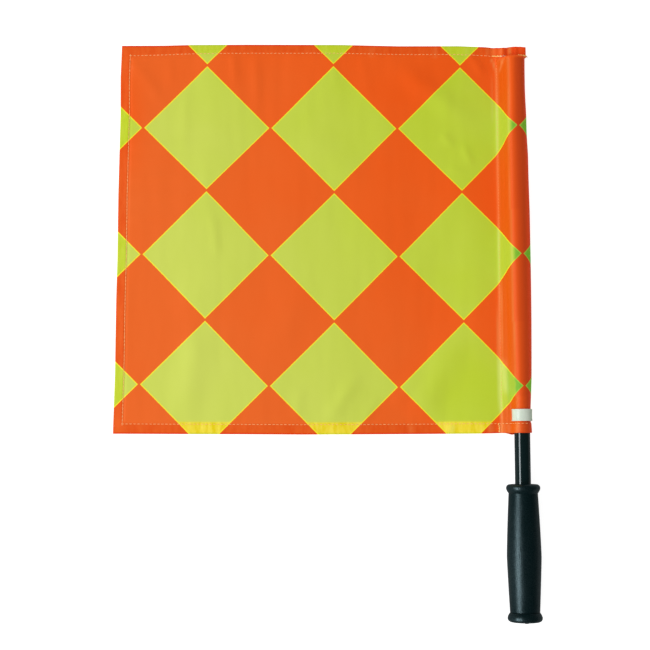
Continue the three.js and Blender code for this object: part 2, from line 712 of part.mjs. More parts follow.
// Everything that turns about the pole's axis is placed along it, then laid down with the pole.
const pole = new THREE.Group();
pole.rotation.x = -LIE_ANGLE;
pole.position.z = BUTT_HEIGHT;
pole.add(
  named("grip", makeGrip(), gripBlack),
  named("grip_end_cap", makeEndCap(), gripBlack),
  named("upper_bush", makeUpperBush(), bushGrey),
  named("lower_bush", makeLowerBush(), bushGrey),
  named("pole_tube", makeTube(), tubeBlack),
  named("tube_foot_plug", makeFootPlug(), plugBlack),
  named("tube_top_plug", makeTopPlug(), plugBlack),
  named("thrust_washer", makeWasher(), steel),
  named("swivel_screw", makeScrew(), steel),
  named("sleeve_clip", makeClip(), clipWhite),
  named("cloth_sleeve", makeSleeve(), clothOrange),
  named("closure_thread", makeClosureRow(), threadYellow),
  named("sleeve_foot_thread", makeFootRow(), threadYellow),
  named("sleeve_seam_thread", makeSeamRow(), threadYellow),
  named("bar_tack_thread", makeBarTack(), threadYellow),
);

const cloth = new THREE.Group();
cloth.add(
  named("cloth_panel", makePanel(), clothOrange),
  named("top_hem_thread", makePanelRow(onTable(TOP_STITCH)), threadYellow),
  named("bottom_hem_thread", makePanelRow(onTable(FOOT_STITCH)), threadYellow),
  named("fly_hem_thread", makeFlyRow(), threadYellow),
);

// The part's origin is on the table, under the middle of the whole flag.
const flag = new THREE.Group();
flag.add(pole, cloth);
flag.updateMatrixWorld(true);
const centre = new THREE.Box3().setFromObject(flag, true).getCenter(new THREE.Vector3());
flag.children.forEach((group) => {
  group.position.x -= centre.x;
  group.position.y -= centre.y;
});

export default flag;
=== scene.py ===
"""Looks of a linesman's hand flag that lies face up. Sizes are in millimetres until a mesh is made."""
import json
import math

import bmesh
import bpy
import numpy as np
from mathutils import Matrix, Vector, noise


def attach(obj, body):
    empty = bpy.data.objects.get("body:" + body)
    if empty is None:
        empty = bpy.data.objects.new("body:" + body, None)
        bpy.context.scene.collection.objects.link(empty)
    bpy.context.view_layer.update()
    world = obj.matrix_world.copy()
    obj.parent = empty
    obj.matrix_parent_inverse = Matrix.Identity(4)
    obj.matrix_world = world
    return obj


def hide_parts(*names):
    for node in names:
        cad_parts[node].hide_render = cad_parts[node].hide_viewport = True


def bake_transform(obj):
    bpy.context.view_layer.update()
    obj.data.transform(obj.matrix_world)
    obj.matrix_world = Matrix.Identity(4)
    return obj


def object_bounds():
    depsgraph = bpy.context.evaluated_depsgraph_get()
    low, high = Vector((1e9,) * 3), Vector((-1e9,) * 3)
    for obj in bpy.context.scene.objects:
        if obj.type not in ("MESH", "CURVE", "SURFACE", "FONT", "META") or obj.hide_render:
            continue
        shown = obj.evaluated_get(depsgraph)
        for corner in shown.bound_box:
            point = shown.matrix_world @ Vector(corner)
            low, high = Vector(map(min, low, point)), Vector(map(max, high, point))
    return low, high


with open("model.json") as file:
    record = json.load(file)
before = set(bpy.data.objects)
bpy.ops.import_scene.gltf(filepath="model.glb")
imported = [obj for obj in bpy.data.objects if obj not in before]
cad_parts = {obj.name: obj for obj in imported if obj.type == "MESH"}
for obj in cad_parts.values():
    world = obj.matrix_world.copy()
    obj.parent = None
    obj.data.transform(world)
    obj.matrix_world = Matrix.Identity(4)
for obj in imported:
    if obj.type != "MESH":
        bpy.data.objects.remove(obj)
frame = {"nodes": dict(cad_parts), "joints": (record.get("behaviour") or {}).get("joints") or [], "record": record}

CAD_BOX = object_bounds()
MM = 0.001

# The pole's frame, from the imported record: the butt's centre, the axis and the way up from it
JOINTS = {joint["name"]: joint for joint in frame["joints"]}
MOUNTS = {mount["name"]: mount for mount in frame["record"]["mounts"]}
BUTT = np.array(MOUNTS["grip_butt_face"]["pos_m"]) / MM
AXIS = np.array(JOINTS["pole_swivel"]["axis"])
RIGHT = np.array([1.0, 0.0, 0.0])
NORMAL = np.cross(RIGHT, AXIS)

# Tube and grip, as in the solids
TUBE_RADIUS = 7.5
TUBE_WALL = 1.0
TUBE_FOOT = 26.4
TUBE_TOP = 541.3
GRIP_LENGTH = 131.5
LIP_BORE = 8.3
UPPER_BORE = 9.9
LOWER_BORE = 10.9
SHOULDER_PLACE = 45.9
MOUTH_NECK = 13.8
BUTT_NECK = 14.1
BELLY_RADIUS = 16.3
BELLY_PLACE_SHARE = 0.46
UPPER_TAPER_POWER = 1.3
LOWER_TAPER_POWER = 1.15
COLLAR_RISE = 2.4
MOUTH_COLLAR_LENGTH = 8.8
END_COLLAR_LENGTH = 8.6
END_DOME_HEIGHT = 2.0
BUTT_FLAT_RADIUS = 6.0
CAP_GAP = 0.3
LIP_LENGTH = 2.0
SPIGOT_RADIUS = 10.6
SPIGOT_BORE = 7.6
SPIGOT_TOP = 21.0
CAP_FLOOR = 4.0

# Cloth, as in the solids
CLOTH = 0.3
CLOTH_FOOT = 179.0
CLOTH_TOP = 558.0
FLY_REACH_TOP = 384.5
FLY_REACH_BOTTOM = 390.5
HEM_WIDTH = 9.2
STITCH_INSET = 8.6
SLEEVE_RADIUS = 8.1
SEAM_DISTANCE = 18.6
NOSE_DISTANCE = 19.9
PANEL_EDGE = 20.84
DROP_RUN = 70.0
CLOSURE_REACH = 9.5
CLOSURE_RISE = 5.0
PLUG_CROWN = 543.6
CLOSING_FROM = PLUG_CROWN + 0.3
HEM_STACK = 0.9
FOOT_LEAVE_ANGLE = 175.0
CLIP_LEAVE_ANGLE = 190.0
HUG_RUN = 22.0
CLIP_FOOT = 190.3
CLIP_TOP = 201.6
CLIP_GAP = 2.1
CLIP_WALL = 1.2
CLIP_OPEN_FROM = 185.0
CLIP_OPEN_TO = 265.0
HUG_FOOT = CLIP_TOP + CLIP_GAP
TOP_STITCH = CLOTH_TOP - STITCH_INSET
FOOT_STITCH = CLOTH_FOOT + STITCH_INSET

# How far the cut edges wander from straight ones: [place, shift]
TOP_WANDER = [
    (-384, -0.3), (-345, -0.1), (-318, 0.7), (-260, 1.05), (-170, 1.0), (-143, 0.4), (-114, -0.2),
    (-56, 0.0), (-30, -0.9), (-22, -1.5), (-17, -1.95), (-13, -2.55), (-9, -2.45), (-5, -2.2), (-2, -2.0),
    (0, -2.1), (4.7, -2.3), (9, -2.95),
]
FOOT_WANDER = [
    (-384, 0.4), (-327, 0.0), (-269, -0.35), (-211, -0.85), (-153, -0.8), (-95, -0.65), (-37, -0.3),
    (-20, 0.0), (12, 0.0),
]
FLY_WANDER = [
    (185, -0.25), (236, 0.3), (270, 0.0), (309, -0.3), (350, -0.05), (410, -0.7), (490, -0.4),
    (529, -1.3), (556, -0.7),
]
# How far the sleeve's right side stands off the tube: [place along the pole, distance]
SLEEVE_BULGE = [
    (179, 0.6), (187, 0.3), (190, 0.1), (201.6, 0.2), (212, 0.75), (231, 1.7), (251, 2.05), (270, 2.3),
    (290, 2.5), (330, 2.6), (390, 2.6), (427, 2.0), (446, 1.9), (470, 0.8), (486, 0.75), (505, 0.0),
    (515, -0.2), (560, -0.2),
]
# How far its left shoulder stands off, between the seam and the crown
SHOULDER_BULGE = [(205, 0.0), (240, 0.6), (300, 1.5), (400, 2.4), (500, 3.2), (530, 3.4)]

# Printed pattern: its half diagonal, where its first corner lies and how far it is turned
HALF_DIAGONAL = 62.5
PATTERN_X = -364.805
PATTERN_Y = 538.757
PATTERN_TURN = -0.2732
# How far its corners lie from an even grid: [column, row, right, up]
PRINT_DRIFT = [
    (1, 0, 0.6, -0.3), (0, 1, 1.2, -0.2), (2, 1, -0.1, 0.5), (1, 2, 0.8, 1.5), (3, 0, -1.1, 0.6),
    (5, 0, -1.9, 0.1), (4, 1, -1.1, 0.5), (3, 2, 0.0, 0.1), (5, 2, -0.6, 0.7), (0, 3, 1.1, 1.0),
    (2, 3, -0.3, 0.5), (1, 4, 0.5, 0.2), (0, 5, 0.0, 0.2), (2, 5, -0.3, -1.2), (4, 3, 0.0, -0.2),
    (3, 4, 0.2, -1.1), (5, 4, 0.4, -0.7), (4, 5, 0.1, -2.1), (6, 1, -2.5, 0.8), (6, 3, -0.4, 0.8),
    (6, 5, -0.9, -1.0),
]
DRIFT_REACH = 38.0

# The photograph's camera
CAMERA_PLACE = Vector((-0.02199, -0.08932, 1.29643))
CAMERA_TARGET = Vector((-0.0003, 0.00452, 0.0))
CAMERA_TURN = 0.157
CAMERA_LENS = 74.46
CAMERA_SENSOR = 36.0


def smooth(share):
    """Eases from 0 to 1."""
    held = np.clip(share, 0.0, 1.0)
    return held * held * (3.0 - 2.0 * held)


def rise(value, start, run):
    """Eases from 0 to 1 over the run after a start."""
    return smooth((value - start) / run)


def fall(value, end, run):
    """Eases from 1 to 0 over the run before an end."""
    return smooth((end - value) / run)


def hump(offset, width):
    """A soft bump of height 1 with a half width."""
    return np.exp(-((offset / width) ** 2))


def wander(table, place):
    """Value of a [place, value] table, straight between its places."""
    places, values = np.array(table, float).T
    return np.interp(place, places, values)


def lengths(points):
    """Lengths along a line of points from its start."""
    steps = np.linalg.norm(np.diff(points, axis=0), axis=1)
    return np.concatenate([[0.0], np.cumsum(steps)])


def on_pole(x, along, up):
    """Points of the part's frame from places in the pole's frame."""
    x, along, up = np.broadcast_arrays(x, along, up)
    return BUTT + x[..., None] * RIGHT + along[..., None] * AXIS + up[..., None] * NORMAL


def on_table(x, along, height):
    """Points of the part's frame from a place along the pole and a height over the table."""
    made = on_pole(x, along, np.full(np.shape(x), -SLEEVE_RADIUS))
    made[..., 2] = height
    return made


def in_pole(point):
    """A place in the pole's frame, in millimetres."""
    offset = np.array(point) / MM - BUTT
    return offset @ RIGHT, offset @ AXIS, offset @ NORMAL


def add_object(name, data):
    made = bpy.data.objects.new(name, data)
    bpy.context.scene.collection.objects.link(made)
    return made


def mesh_object(name, points, faces, finish, smooth_angle=35.0):
    """A mesh with its place in its points, smooth but for its sharp edges."""
    mesh = bpy.data.meshes.new(name)
    mesh.from_pydata([tuple(p) for p in np.asarray(points) * MM], [], [tuple(f) for f in faces])
    mesh.materials.append(FINISHES[finish])
    mesh.validate()
    mesh.polygons.foreach_set("use_smooth", [True] * len(mesh.polygons))
    mesh.set_sharp_from_angle(angle=math.radians(smooth_angle))
    return add_object(name, mesh)


def face_outwards(made):
    """Joins doubled points and turns the faces of a closed mesh outwards."""
    work = bmesh.new()
    work.from_mesh(made.data)
    bmesh.ops.remove_doubles(work, verts=work.verts, dist=1e-7)
    bmesh.ops.recalc_face_normals(work, faces=work.faces)
    work.to_mesh(made.data)
    work.free()
    return made


def ring_faces(rings, sides, closes=False, flips=False):
    """Faces between rings of points."""
    faces = []
    for i in range(rings if closes else rings - 1):
        here, after = i * sides, (i + 1) % rings * sides
        for k in range(sides):
            beside = (k + 1) % sides
            corners = [here + beside, after + beside, after + k]
            faces.append([here + k, *(corners[::-1] if flips else corners)])
    return faces


# Sockets of the Mix node that deal with colours
MIX_SHARE, MIX_LOW, MIX_HIGH, MIX_RESULT = 0, 6, 7, 2


class Tree:
    """A node tree under construction. A node, socket, number, vector or colour feeds a socket."""

    def __init__(self, tree, family):
        self.tree, self.family = tree, family

    def feed(self, value, socket):
        if isinstance(value, bpy.types.Node):
            value = value.outputs[0]
        if isinstance(value, bpy.types.NodeSocket):
            self.tree.links.new(value, socket)
        else:
            socket.default_value = (*value, 1.0) if socket.type == "RGBA" else value

    def node(self, kind, inputs=None, **settings):
        made = self.tree.nodes.new(kind if "Node" in kind else self.family + kind)
        for name, value in settings.items():
            setattr(made, name, value)
        for name, value in (inputs or {}).items():
            self.feed(value, made.inputs[name])
        return made

    def math(self, operation, *values):
        return self.node("ShaderNodeMath", dict(enumerate(values)), operation=operation).outputs[0]

    def times(self, first, second):
        return self.math("MULTIPLY", first, second)

    def spread(self, value, low, high, to_low=0.0, to_high=1.0):
        """Maps a value from one range to another, held at its ends."""
        inputs = {"Value": value, "From Min": low, "From Max": high, "To Min": to_low, "To Max": to_high}
        return self.node("MapRange", inputs).outputs["Result"]


class Finish(Tree):
    """A node material under construction."""

    def __init__(self, name, **shader):
        self.material = bpy.data.materials.new(name)
        self.material.use_nodes = True
        super().__init__(self.material.node_tree, "ShaderNode")
        self.wear(**shader)

    def wear(self, **inputs):
        """Feeds the shader, and returns the material."""
        shader = self.tree.nodes["Principled BSDF"]
        for name, value in inputs.items():
            self.feed(value, shader.inputs[name.replace("_", " ")])
        return self.material

    def mix(self, share, low, high):
        inputs = {MIX_SHARE: share, MIX_LOW: low, MIX_HIGH: high}
        return self.node("Mix", inputs, data_type="RGBA").outputs[MIX_RESULT]

    def layers(self, colour, *above):
        """A colour under others, each with its share."""
        for share, layer in above:
            colour = self.mix(share, colour, layer)
        return colour

    def attribute(self, name):
        return self.node("Attribute", attribute_name=name).outputs["Fac"]

    def place(self, scale=(1, 1, 1)):
        """Object coordinates, scaled."""
        return self.node("Mapping", {"Vector": self.node("TexCoord").outputs["Object"], "Scale": scale})

    def grain(self, scale, detail=2.0, coordinates=None, roughness=0.5):
        """Noise at a number of cells per metre."""
        where = self.place() if coordinates is None else coordinates
        inputs = {"Scale": scale, "Detail": detail, "Roughness": roughness, "Vector": where}
        return self.node("TexNoise", inputs).outputs["Fac"]

    def bump(self, height, distance, strength, **below):
        """A bumped normal, over the one below it."""
        return self.node("Bump", {"Height": height, "Distance": distance, "Strength": strength, **below})


# How the grip's shine runs along the part's Y: from and to, in metres, and the shares there
GRIP_SHINE = (-0.225, -0.158, 1.16, 0.62)
CAP_SHINE = (-0.268, -0.25, 0.7, 1.0)
MOUTH_SHINE = (-0.158, -0.154, 0.0, 1.1)
BUTT_SHINE = (-0.273, -0.270, 0.6, 0.0)
# The middle of a noise's range
MIDDLE = (0.3, 0.7)


def grip_finish():
    """Matt moulded plastic: a fine spark-eroded grain, hand-polished in patches."""
    made = Finish("grip_black", Base_Color=(0.001, 0.007, 0.008), Roughness=0.4, Specular_IOR_Level=0.62,
                  Specular_Tint=(0.68, 0.93, 1.0))
    patches, fine, pebbles = made.grain(90.0, 3.0), made.grain(2600.0), made.grain(1000.0, 1.0)
    along = made.node("SeparateXYZ", {"Vector": made.place()}).outputs["Y"]
    ends = made.math("ADD", made.spread(along, *CAP_SHINE), made.spread(along, *MOUTH_SHINE))
    ends = made.math("ADD", ends, made.spread(along, *BUTT_SHINE))
    shine = made.times(made.spread(along, *GRIP_SHINE), ends)
    waves = made.bump(made.grain(160.0), 0.0004, 0.2)
    pebbled = made.bump(pebbles, 0.0005, 0.38, Normal=waves)
    return made.wear(
        Specular_IOR_Level=made.times(shine, made.spread(pebbles, 0.36, 0.64, 0.42, 0.84)),
        Roughness=made.spread(patches, *MIDDLE, 0.32, 0.38),
        Base_Color=made.mix(patches, (0.0003, 0.0066, 0.0075), (0.0010, 0.0085, 0.0100)),
        Normal=made.bump(fine, 0.00005, 0.35, Normal=pebbled),
    )


def tube_finish():
    """Gloss tube: drawn lines along its length, nearly too fine to see."""
    made = Finish("tube_black", Base_Color=(0.003, 0.011, 0.0112), Roughness=0.15, Specular_IOR_Level=0.74,
                  Specular_Tint=(0.93, 0.99, 1.0))
    lines = made.grain(1.0, 2.0, made.place((900, 12, 900)))
    return made.wear(
        Roughness=made.spread(lines, *MIDDLE, 0.13, 0.16),
        Base_Color=made.mix(lines, (0.0024, 0.0098, 0.0102), (0.0034, 0.0118, 0.0122)),
        Normal=made.bump(lines, 0.00002, 0.06),
    )


def clip_finish():
    """Off-white moulded plastic, softly glossy, with a painted grey-green shade on its right side."""
    made = Finish("clip_white", Base_Color=(0.62, 0.68, 0.57), Roughness=0.33, Subsurface_Weight=0.08,
                  Subsurface_Radius=(0.004, 0.004, 0.003), Subsurface_Scale=0.3)
    white = made.mix(made.grain(220.0, 3.0), (0.58, 0.64, 0.53), (0.66, 0.72, 0.61))
    # Painted shade, tinted by the cloth's green light, towards the clip's right end
    across = made.node("SeparateXYZ", {"Vector": made.place()}).outputs["X"]
    return made.wear(
        Base_Color=made.mix(made.spread(across, 0.1915, 0.1965), white, (0.33, 0.42, 0.30)),
        Normal=made.bump(made.grain(1800.0), 0.00004, 0.3),
    )


def moulded_finish(name, low, high, roughness):
    """Plain moulded plastic of a bush or plug, with faint flow marks."""
    made = Finish(name, Base_Color=high, Roughness=roughness)
    flow = made.grain(1.0, 3.0, made.place((300, 90, 300)))
    return made.wear(
        Base_Color=made.mix(flow, low, high),
        Roughness=made.spread(flow, *MIDDLE, roughness - 0.06, roughness + 0.06),
        Normal=made.bump(made.grain(2200.0), 0.00003, 0.3),
    )


def steel_finish():
    """Zinc-plated steel with turning marks and a faint bloom."""
    made = Finish("fixing_steel", Base_Color=(0.6, 0.6, 0.62), Roughness=0.3, Metallic=1.0)
    turned = made.grain(1.0, 2.0, made.place((60, 2500, 60)))
    return made.wear(
        Roughness=made.spread(turned, *MIDDLE, 0.24, 0.38),
        Base_Color=made.mix(made.grain(700.0, 3.0), (0.52, 0.53, 0.55), (0.66, 0.66, 0.66)),
        Normal=made.bump(turned, 0.00002, 0.4),
    )


def thread_finish(name, low, high):
    """Twisted sewing thread, paler where its plies catch the light."""
    made = Finish(name, Base_Color=high, Roughness=0.6, Sheen_Weight=0.3)
    plies = made.grain(3200.0)
    return made.wear(
        Base_Color=made.mix(made.spread(plies, 0.35, 0.65), low, high),
        Normal=made.bump(plies, 0.00006, 0.6),
    )


# What the cloth's mesh says about its print and its painted shade and highlight at each point, from 0 to 1
SHADES = ("hem", "low_hem", "pale_share", "painted_tube_shade", "green_shade", "side", "lit", "painted_sheen", "rim")
# Print colours by where they lie on the cloth: pairs run from their strong end to their pale one
# The rim, lit and crown colours are painted shade; the pale colour of creases and the seam is a painted highlight
ORANGE = {
    "open": ((0.845, 0.091, 0.004), (0.80, 0.131, 0.019)),
    "hem": ((0.72, 0.064, 0.002), (0.775, 0.100, 0.010)),
    "rim": (0.70, 0.036, 0.0005),
    "lit": (0.715, 0.099, 0.003),
    "painted_sheen": ((0.80, 0.205, 0.048), (0.77, 0.190, 0.042)),
    "crown": ((0.57, 0.053, 0.005), (0.78, 0.055, 0.003)),
}
LIME = {
    "open": ((0.485, 0.60, 0.028), (0.585, 0.645, 0.105)),
    "hem": ((0.47, 0.57, 0.006), (0.55, 0.63, 0.035)),
    "rim": (0.42, 0.52, 0.004),
    "lit": (0.475, 0.545, 0.032),
    "low hem": ((0.75, 0.58, 0.004), (0.90, 0.73, 0.07)),
    "painted_sheen": (0.59, 0.65, 0.13),
    "crown": ((0.19, 0.44, 0.03), (0.19, 0.50, 0.02)),
}
OUTLINE = {"open": ((0.86, 0.76, 0.014), (0.94, 0.82, 0.03)), "crown": (0.30, 0.58, 0.05)}
# Where a lime diamond's outline and its lime begin, in millimetres from its edge
OUTLINE_EDGE = (0.5, 0.95)
LIME_EDGE = (1.15, 1.9)
EDGE_WANDER = 0.35


def printed_cells(made, coordinates):
    """Whether a place is in a lime diamond, as 0 or 1, and how far it is from the diamond's edge."""
    cell_side = HALF_DIAGONAL * math.sqrt(2.0)
    turn = math.radians(45.0 - PATTERN_TURN)
    shift = Matrix.Rotation(turn, 2) @ Vector((-PATTERN_X, -PATTERN_Y)) / cell_side
    scale = (1.0 / (cell_side * MM),) * 3
    inputs = {"Vector": coordinates, "Scale": scale, "Rotation": (0.0, 0.0, turn), "Location": (*shift, 0.0)}
    split = made.node("SeparateXYZ", {"Vector": made.node("Mapping", inputs)}).outputs
    near = [made.math("ROUND", split[axis]) for axis in "XY"]
    off = [made.math("ABSOLUTE", made.math("SUBTRACT", split[axis], cell)) for axis, cell in zip("XY", near)]
    edge = made.times(made.math("SUBTRACT", 0.5, made.math("MAXIMUM", *off)), cell_side)
    uneven = made.times(made.math("SUBTRACT", made.grain(350.0, 2.0, coordinates), 0.5), EDGE_WANDER)
    return made.math("FLOORED_MODULO", made.math("ADD", *near), 2.0), made.math("ADD", edge, uneven)


def print_colour(made, coordinates):
    """Orange, and diamonds of lime with a thin yellow outline, each paler by its place, and darker or lighter with
    painted shade and painted highlights.
    """
    hem, low_hem, pale_share, crown, green_shade, side, lit, painted_sheen, rim = (made.attribute(name) for name in SHADES)
    down = made.node("Mapping", {"Vector": coordinates, "Scale": (170.0, 45.0, 1.0)})
    streaks = made.spread(made.grain(1.0, 3.0, down, 0.6), 0.34, 0.66)
    clouds = made.spread(made.grain(14.0, 3.0, coordinates), *MIDDLE)
    pale = made.math("ADD", made.times(pale_share, 0.8), made.times(clouds, 0.2))
    # The rim, lit, crown and green layers are painted shade; the pale layer on creases and the seam is a painted
    # highlight
    orange = made.layers(
        made.mix(pale, *ORANGE["open"]),
        (made.times(hem, 0.75), made.mix(streaks, *ORANGE["hem"])),
        (made.times(rim, 0.8), ORANGE["rim"]),
        (lit, ORANGE["lit"]),
        (painted_sheen, made.mix(lit, *ORANGE["painted_sheen"])),
        (crown, made.mix(side, *ORANGE["crown"])),
    )
    lime = made.layers(
        made.mix(pale, *LIME["open"]),
        (made.times(hem, 0.8), made.mix(streaks, *LIME["hem"])),
        (lit, LIME["lit"]),
        (low_hem, made.mix(streaks, *LIME["low hem"])),
        (made.times(rim, 0.45), LIME["rim"]),
        (painted_sheen, LIME["painted_sheen"]),
        (green_shade, made.mix(side, *LIME["crown"])),
    )
    outline = made.mix(green_shade, made.mix(pale, *OUTLINE["open"]), OUTLINE["crown"])
    in_lime_cell, edge = printed_cells(made, coordinates)
    in_outline = made.times(in_lime_cell, made.spread(edge, *OUTLINE_EDGE))
    in_lime = made.times(in_lime_cell, made.spread(edge, *LIME_EDGE))
    return made.layers(orange, (in_outline, outline), (in_lime, lime))


def cloth_finish():
    """Thin woven cloth with its print, a little crumpled."""
    made = Finish("flag_cloth", Base_Color=(0.8, 0.11, 0.015), Roughness=0.42, Specular_IOR_Level=0.15,
                  Specular_Tint=(1.0, 0.95, 0.7))
    coordinates = made.node("UVMap", uv_map="print").outputs["UV"]
    inputs = {"Vector": coordinates, "Scale": 900.0, "Distortion": 0.6, "Detail": 1.0}
    threads = made.times(*(made.node("TexWave", inputs, bands_direction=way).outputs["Fac"] for way in "XY"))
    crumple = made.bump(made.grain(120.0, 4.0, coordinates), 0.0004, 0.12)
    return made.wear(
        Base_Color=print_colour(made, coordinates),
        Normal=made.bump(threads, 0.00004, 0.25, Normal=crumple),
    )


FINISHES = {
    "grip_black": grip_finish(),
    "tube_black": tube_finish(),
    "clip_white": clip_finish(),
    "bush_grey": moulded_finish("bush_grey", (0.22, 0.23, 0.24), (0.3, 0.31, 0.32), 0.5),
    "plug_black": moulded_finish("plug_black", (0.008, 0.01, 0.011), (0.014, 0.016, 0.017), 0.45),
    "fixing_steel": steel_finish(),
    "flag_cloth": cloth_finish(),
    "stitch_thread": thread_finish("stitch_thread", (0.93, 0.34, 0.09), (1.00, 0.55, 0.22)),
    "seam_thread": thread_finish("seam_thread", (0.80, 0.25, 0.045), (0.86, 0.36, 0.09)),
    "pale_thread": thread_finish("pale_thread", (0.94, 0.45, 0.22), (1.00, 0.70, 0.45)),
    "tack_thread": thread_finish("tack_thread", (0.95, 0.50, 0.07), (1.00, 0.78, 0.24)),
    "loose_thread": thread_finish("loose_thread", (0.10, 0.16, 0.16), (0.25, 0.33, 0.33)),
}
STOCK_NODES = {
    "upper_bush": "bush_grey",
    "lower_bush": "bush_grey",
    "tube_foot_plug": "plug_black",
    "tube_top_plug": "plug_black",
    "thrust_washer": "fixing_steel",
    "swivel_screw": "fixing_steel",
}


def dress_solids():
    """Gives the solids that stay their finish."""
    for node, finish in STOCK_NODES.items():
        mesh = frame["nodes"][node].data
        mesh.materials.clear()
        mesh.materials.append(FINISHES[finish])


def lathe(name, outline, sides, finish, closes=False):
    """A turned piece about the pole's axis from [radius, place along it] points."""
    radius, along = np.array(outline, float).T
    angles = np.arange(sides) * 2.0 * math.pi / sides
    points = on_pole(np.outer(radius, np.cos(angles)), along[:, None], np.outer(radius, np.sin(angles)))
    faces = ring_faces(len(outline), sides, closes)
    return face_outwards(mesh_object(name, points.reshape(-1, 3), faces, finish))


def rounded(points, radius, steps=4):
    """An outline with its corners rounded, but for its two ends."""
    points = [np.array(p, float) for p in points]
    made = [points[0]]
    for before, here, after in zip(points, points[1:], points[2:]):
        back, ahead = before - here, after - here
        reach = min(radius, np.linalg.norm(back) / 2.2, np.linalg.norm(ahead) / 2.2)
        start = here + back / np.linalg.norm(back) * reach
        end = here + ahead / np.linalg.norm(ahead) * reach
        for i in range(steps + 1):
            t = i / steps
            made.append((1 - t) ** 2 * start + 2 * t * (1 - t) * here + t ** 2 * end)
    made.append(points[-1])
    return made


# Collar outlines, as shares of the collar's length and of its rise, from the neck outwards
COLLAR_SHARES = [
    (0.0, 0.0), (0.13, 0.32), (0.24, 0.55), (0.36, 0.77), (0.48, 0.93),
    (0.59, 1.0), (0.70, 0.96), (0.81, 0.81), (0.91, 0.52), (1.0, 0.0),
]
COLLAR_STEPS = 28
# How far the mouth's collar and the butt's dome lie inside the solids' ends
MOUTH_SETBACK = 0.9
DOME_SETBACK = 1.5
BARREL_STEPS = 60
TURN_SIDES = 128
# How far the mouth's rounded edge reaches in from its collar and from its lip
MOUTH_EDGE = 0.3
LIP_LAND = 3.0
LIP_DEPTH = 1.1


def collar(neck, start, end):
    """A collar's outline from its neck to its far end, through its shares on one smooth curve."""
    run = lengths(COLLAR_SHARES)
    place = np.linspace(0.0, run[-1], COLLAR_STEPS)
    along, rises = (np.interp(place, run, shares) for shares in np.array(COLLAR_SHARES).T)
    for values in (along, rises):
        values[1:-1] = (values[:-2] + 2 * values[1:-1] + values[2:]) / 4
    return [(neck + COLLAR_RISE * r, start + (end - start) * a) for a, r in zip(along, rises)]


def barrel_radius(along, foot, top):
    """The grip's radius, which falls from its belly to a neck at each end."""
    belly = foot + (top - foot) * BELLY_PLACE_SHARE
    if along < belly:
        neck, share, power = BUTT_NECK, (belly - along) / (belly - foot), LOWER_TAPER_POWER
    else:
        neck, share, power = MOUTH_NECK, (along - belly) / (top - belly), UPPER_TAPER_POWER
    return BELLY_RADIUS - (BELLY_RADIUS - neck) * share ** power


def make_grip():
    """Barrel grip with its mouth collar, lip and stepped bore."""
    foot = END_DOME_HEIGHT + END_COLLAR_LENGTH + CAP_GAP
    top = GRIP_LENGTH - MOUTH_COLLAR_LENGTH
    mouth = GRIP_LENGTH - MOUTH_SETBACK
    places = np.linspace(foot + 0.5, top - MOUTH_SETBACK, BARREL_STEPS)
    barrel = [(barrel_radius(a, foot, top), a) for a in places]
    outline = rounded([(LOWER_BORE, foot + 3), (LOWER_BORE, foot), (BUTT_NECK - 0.2, foot), barrel[0]], 0.3)
    outline += barrel[1:-1]
    outline += collar(MOUTH_NECK, top - MOUTH_SETBACK, mouth - MOUTH_EDGE)[:-1]
    lip = [(LIP_BORE + LIP_LAND, mouth), (LIP_BORE, mouth), (LIP_BORE, mouth - LIP_DEPTH)]
    outline += rounded([(MOUTH_NECK, mouth - MOUTH_EDGE), *lip], 0.6)
    outline += [
        (UPPER_BORE, GRIP_LENGTH - LIP_LENGTH),
        (UPPER_BORE, SHOULDER_PLACE),
        (LOWER_BORE, SHOULDER_PLACE),
    ]
    made = lathe("barrel_grip", outline, TURN_SIDES, "grip_black", closes=True)
    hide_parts("grip")
    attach(made, "handle")


# The butt's dome: [radius, place] from its middle to its collar
DOME = [
    (0.0, DOME_SETBACK), (BUTT_FLAT_RADIUS, DOME_SETBACK),
    (9.6, DOME_SETBACK + 0.2), (12.5, DOME_SETBACK + 0.5), (BUTT_NECK, END_DOME_HEIGHT + 0.4),
]
DOME_ROUND = 2.5
# The low moulding lump: its place across the butt, its radius, height and steepness, and its mesh's reach
NUB_PLACE = (1.4, 1.5)
NUB_RADIUS = 3.0
NUB_HEIGHT = 1.3
NUB_STEEPNESS = 2.2
NUB_REACH = 9.0


def make_end_cap():
    """Butt cap: shallow dome with a flat centre and an off-centre lump, the end collar and its spigot."""
    top = END_DOME_HEIGHT + END_COLLAR_LENGTH
    outline = rounded(DOME, DOME_ROUND)
    outline += collar(BUTT_NECK, top, END_DOME_HEIGHT)[-2::-1]
    outline += [(SPIGOT_RADIUS, top), (SPIGOT_RADIUS, SPIGOT_TOP), (SPIGOT_BORE, SPIGOT_TOP)]
    outline += [(SPIGOT_BORE, CAP_FLOOR), (0.0, CAP_FLOOR)]
    made = lathe("grip_cap", outline, TURN_SIDES, "grip_black")
    raise_nub(made)
    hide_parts("grip_end_cap")
    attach(made, "handle")


def near_nub(face):
    """Whether a face lies in the middle of the butt."""
    x, along, up = in_pole(face.calc_center_median())
    return along < END_DOME_HEIGHT and math.hypot(x, up) < NUB_REACH


def raise_nub(made):
    """Raises the moulding's low lump, a little off the centre of the butt."""
    work = bmesh.new()
    work.from_mesh(made.data)
    edges = list({edge for face in work.faces if near_nub(face) for edge in face.edges})
    bmesh.ops.subdivide_edges(work, edges=edges, cuts=3, use_grid_fill=True)
    for vertex in work.verts:
        x, along, up = in_pole(vertex.co)
        if along < END_DOME_HEIGHT:
            away = math.hypot(x - NUB_PLACE[0], up - NUB_PLACE[1]) / NUB_RADIUS
            share = float(smooth((1.0 - away) * NUB_STEEPNESS))
            vertex.co -= Vector(AXIS * NUB_HEIGHT * share * MM)
    work.to_mesh(made.data)
    work.free()


TUBE_EDGE = 0.3
TUBE_SIDES = 96
TUBE_STATIONS = 24


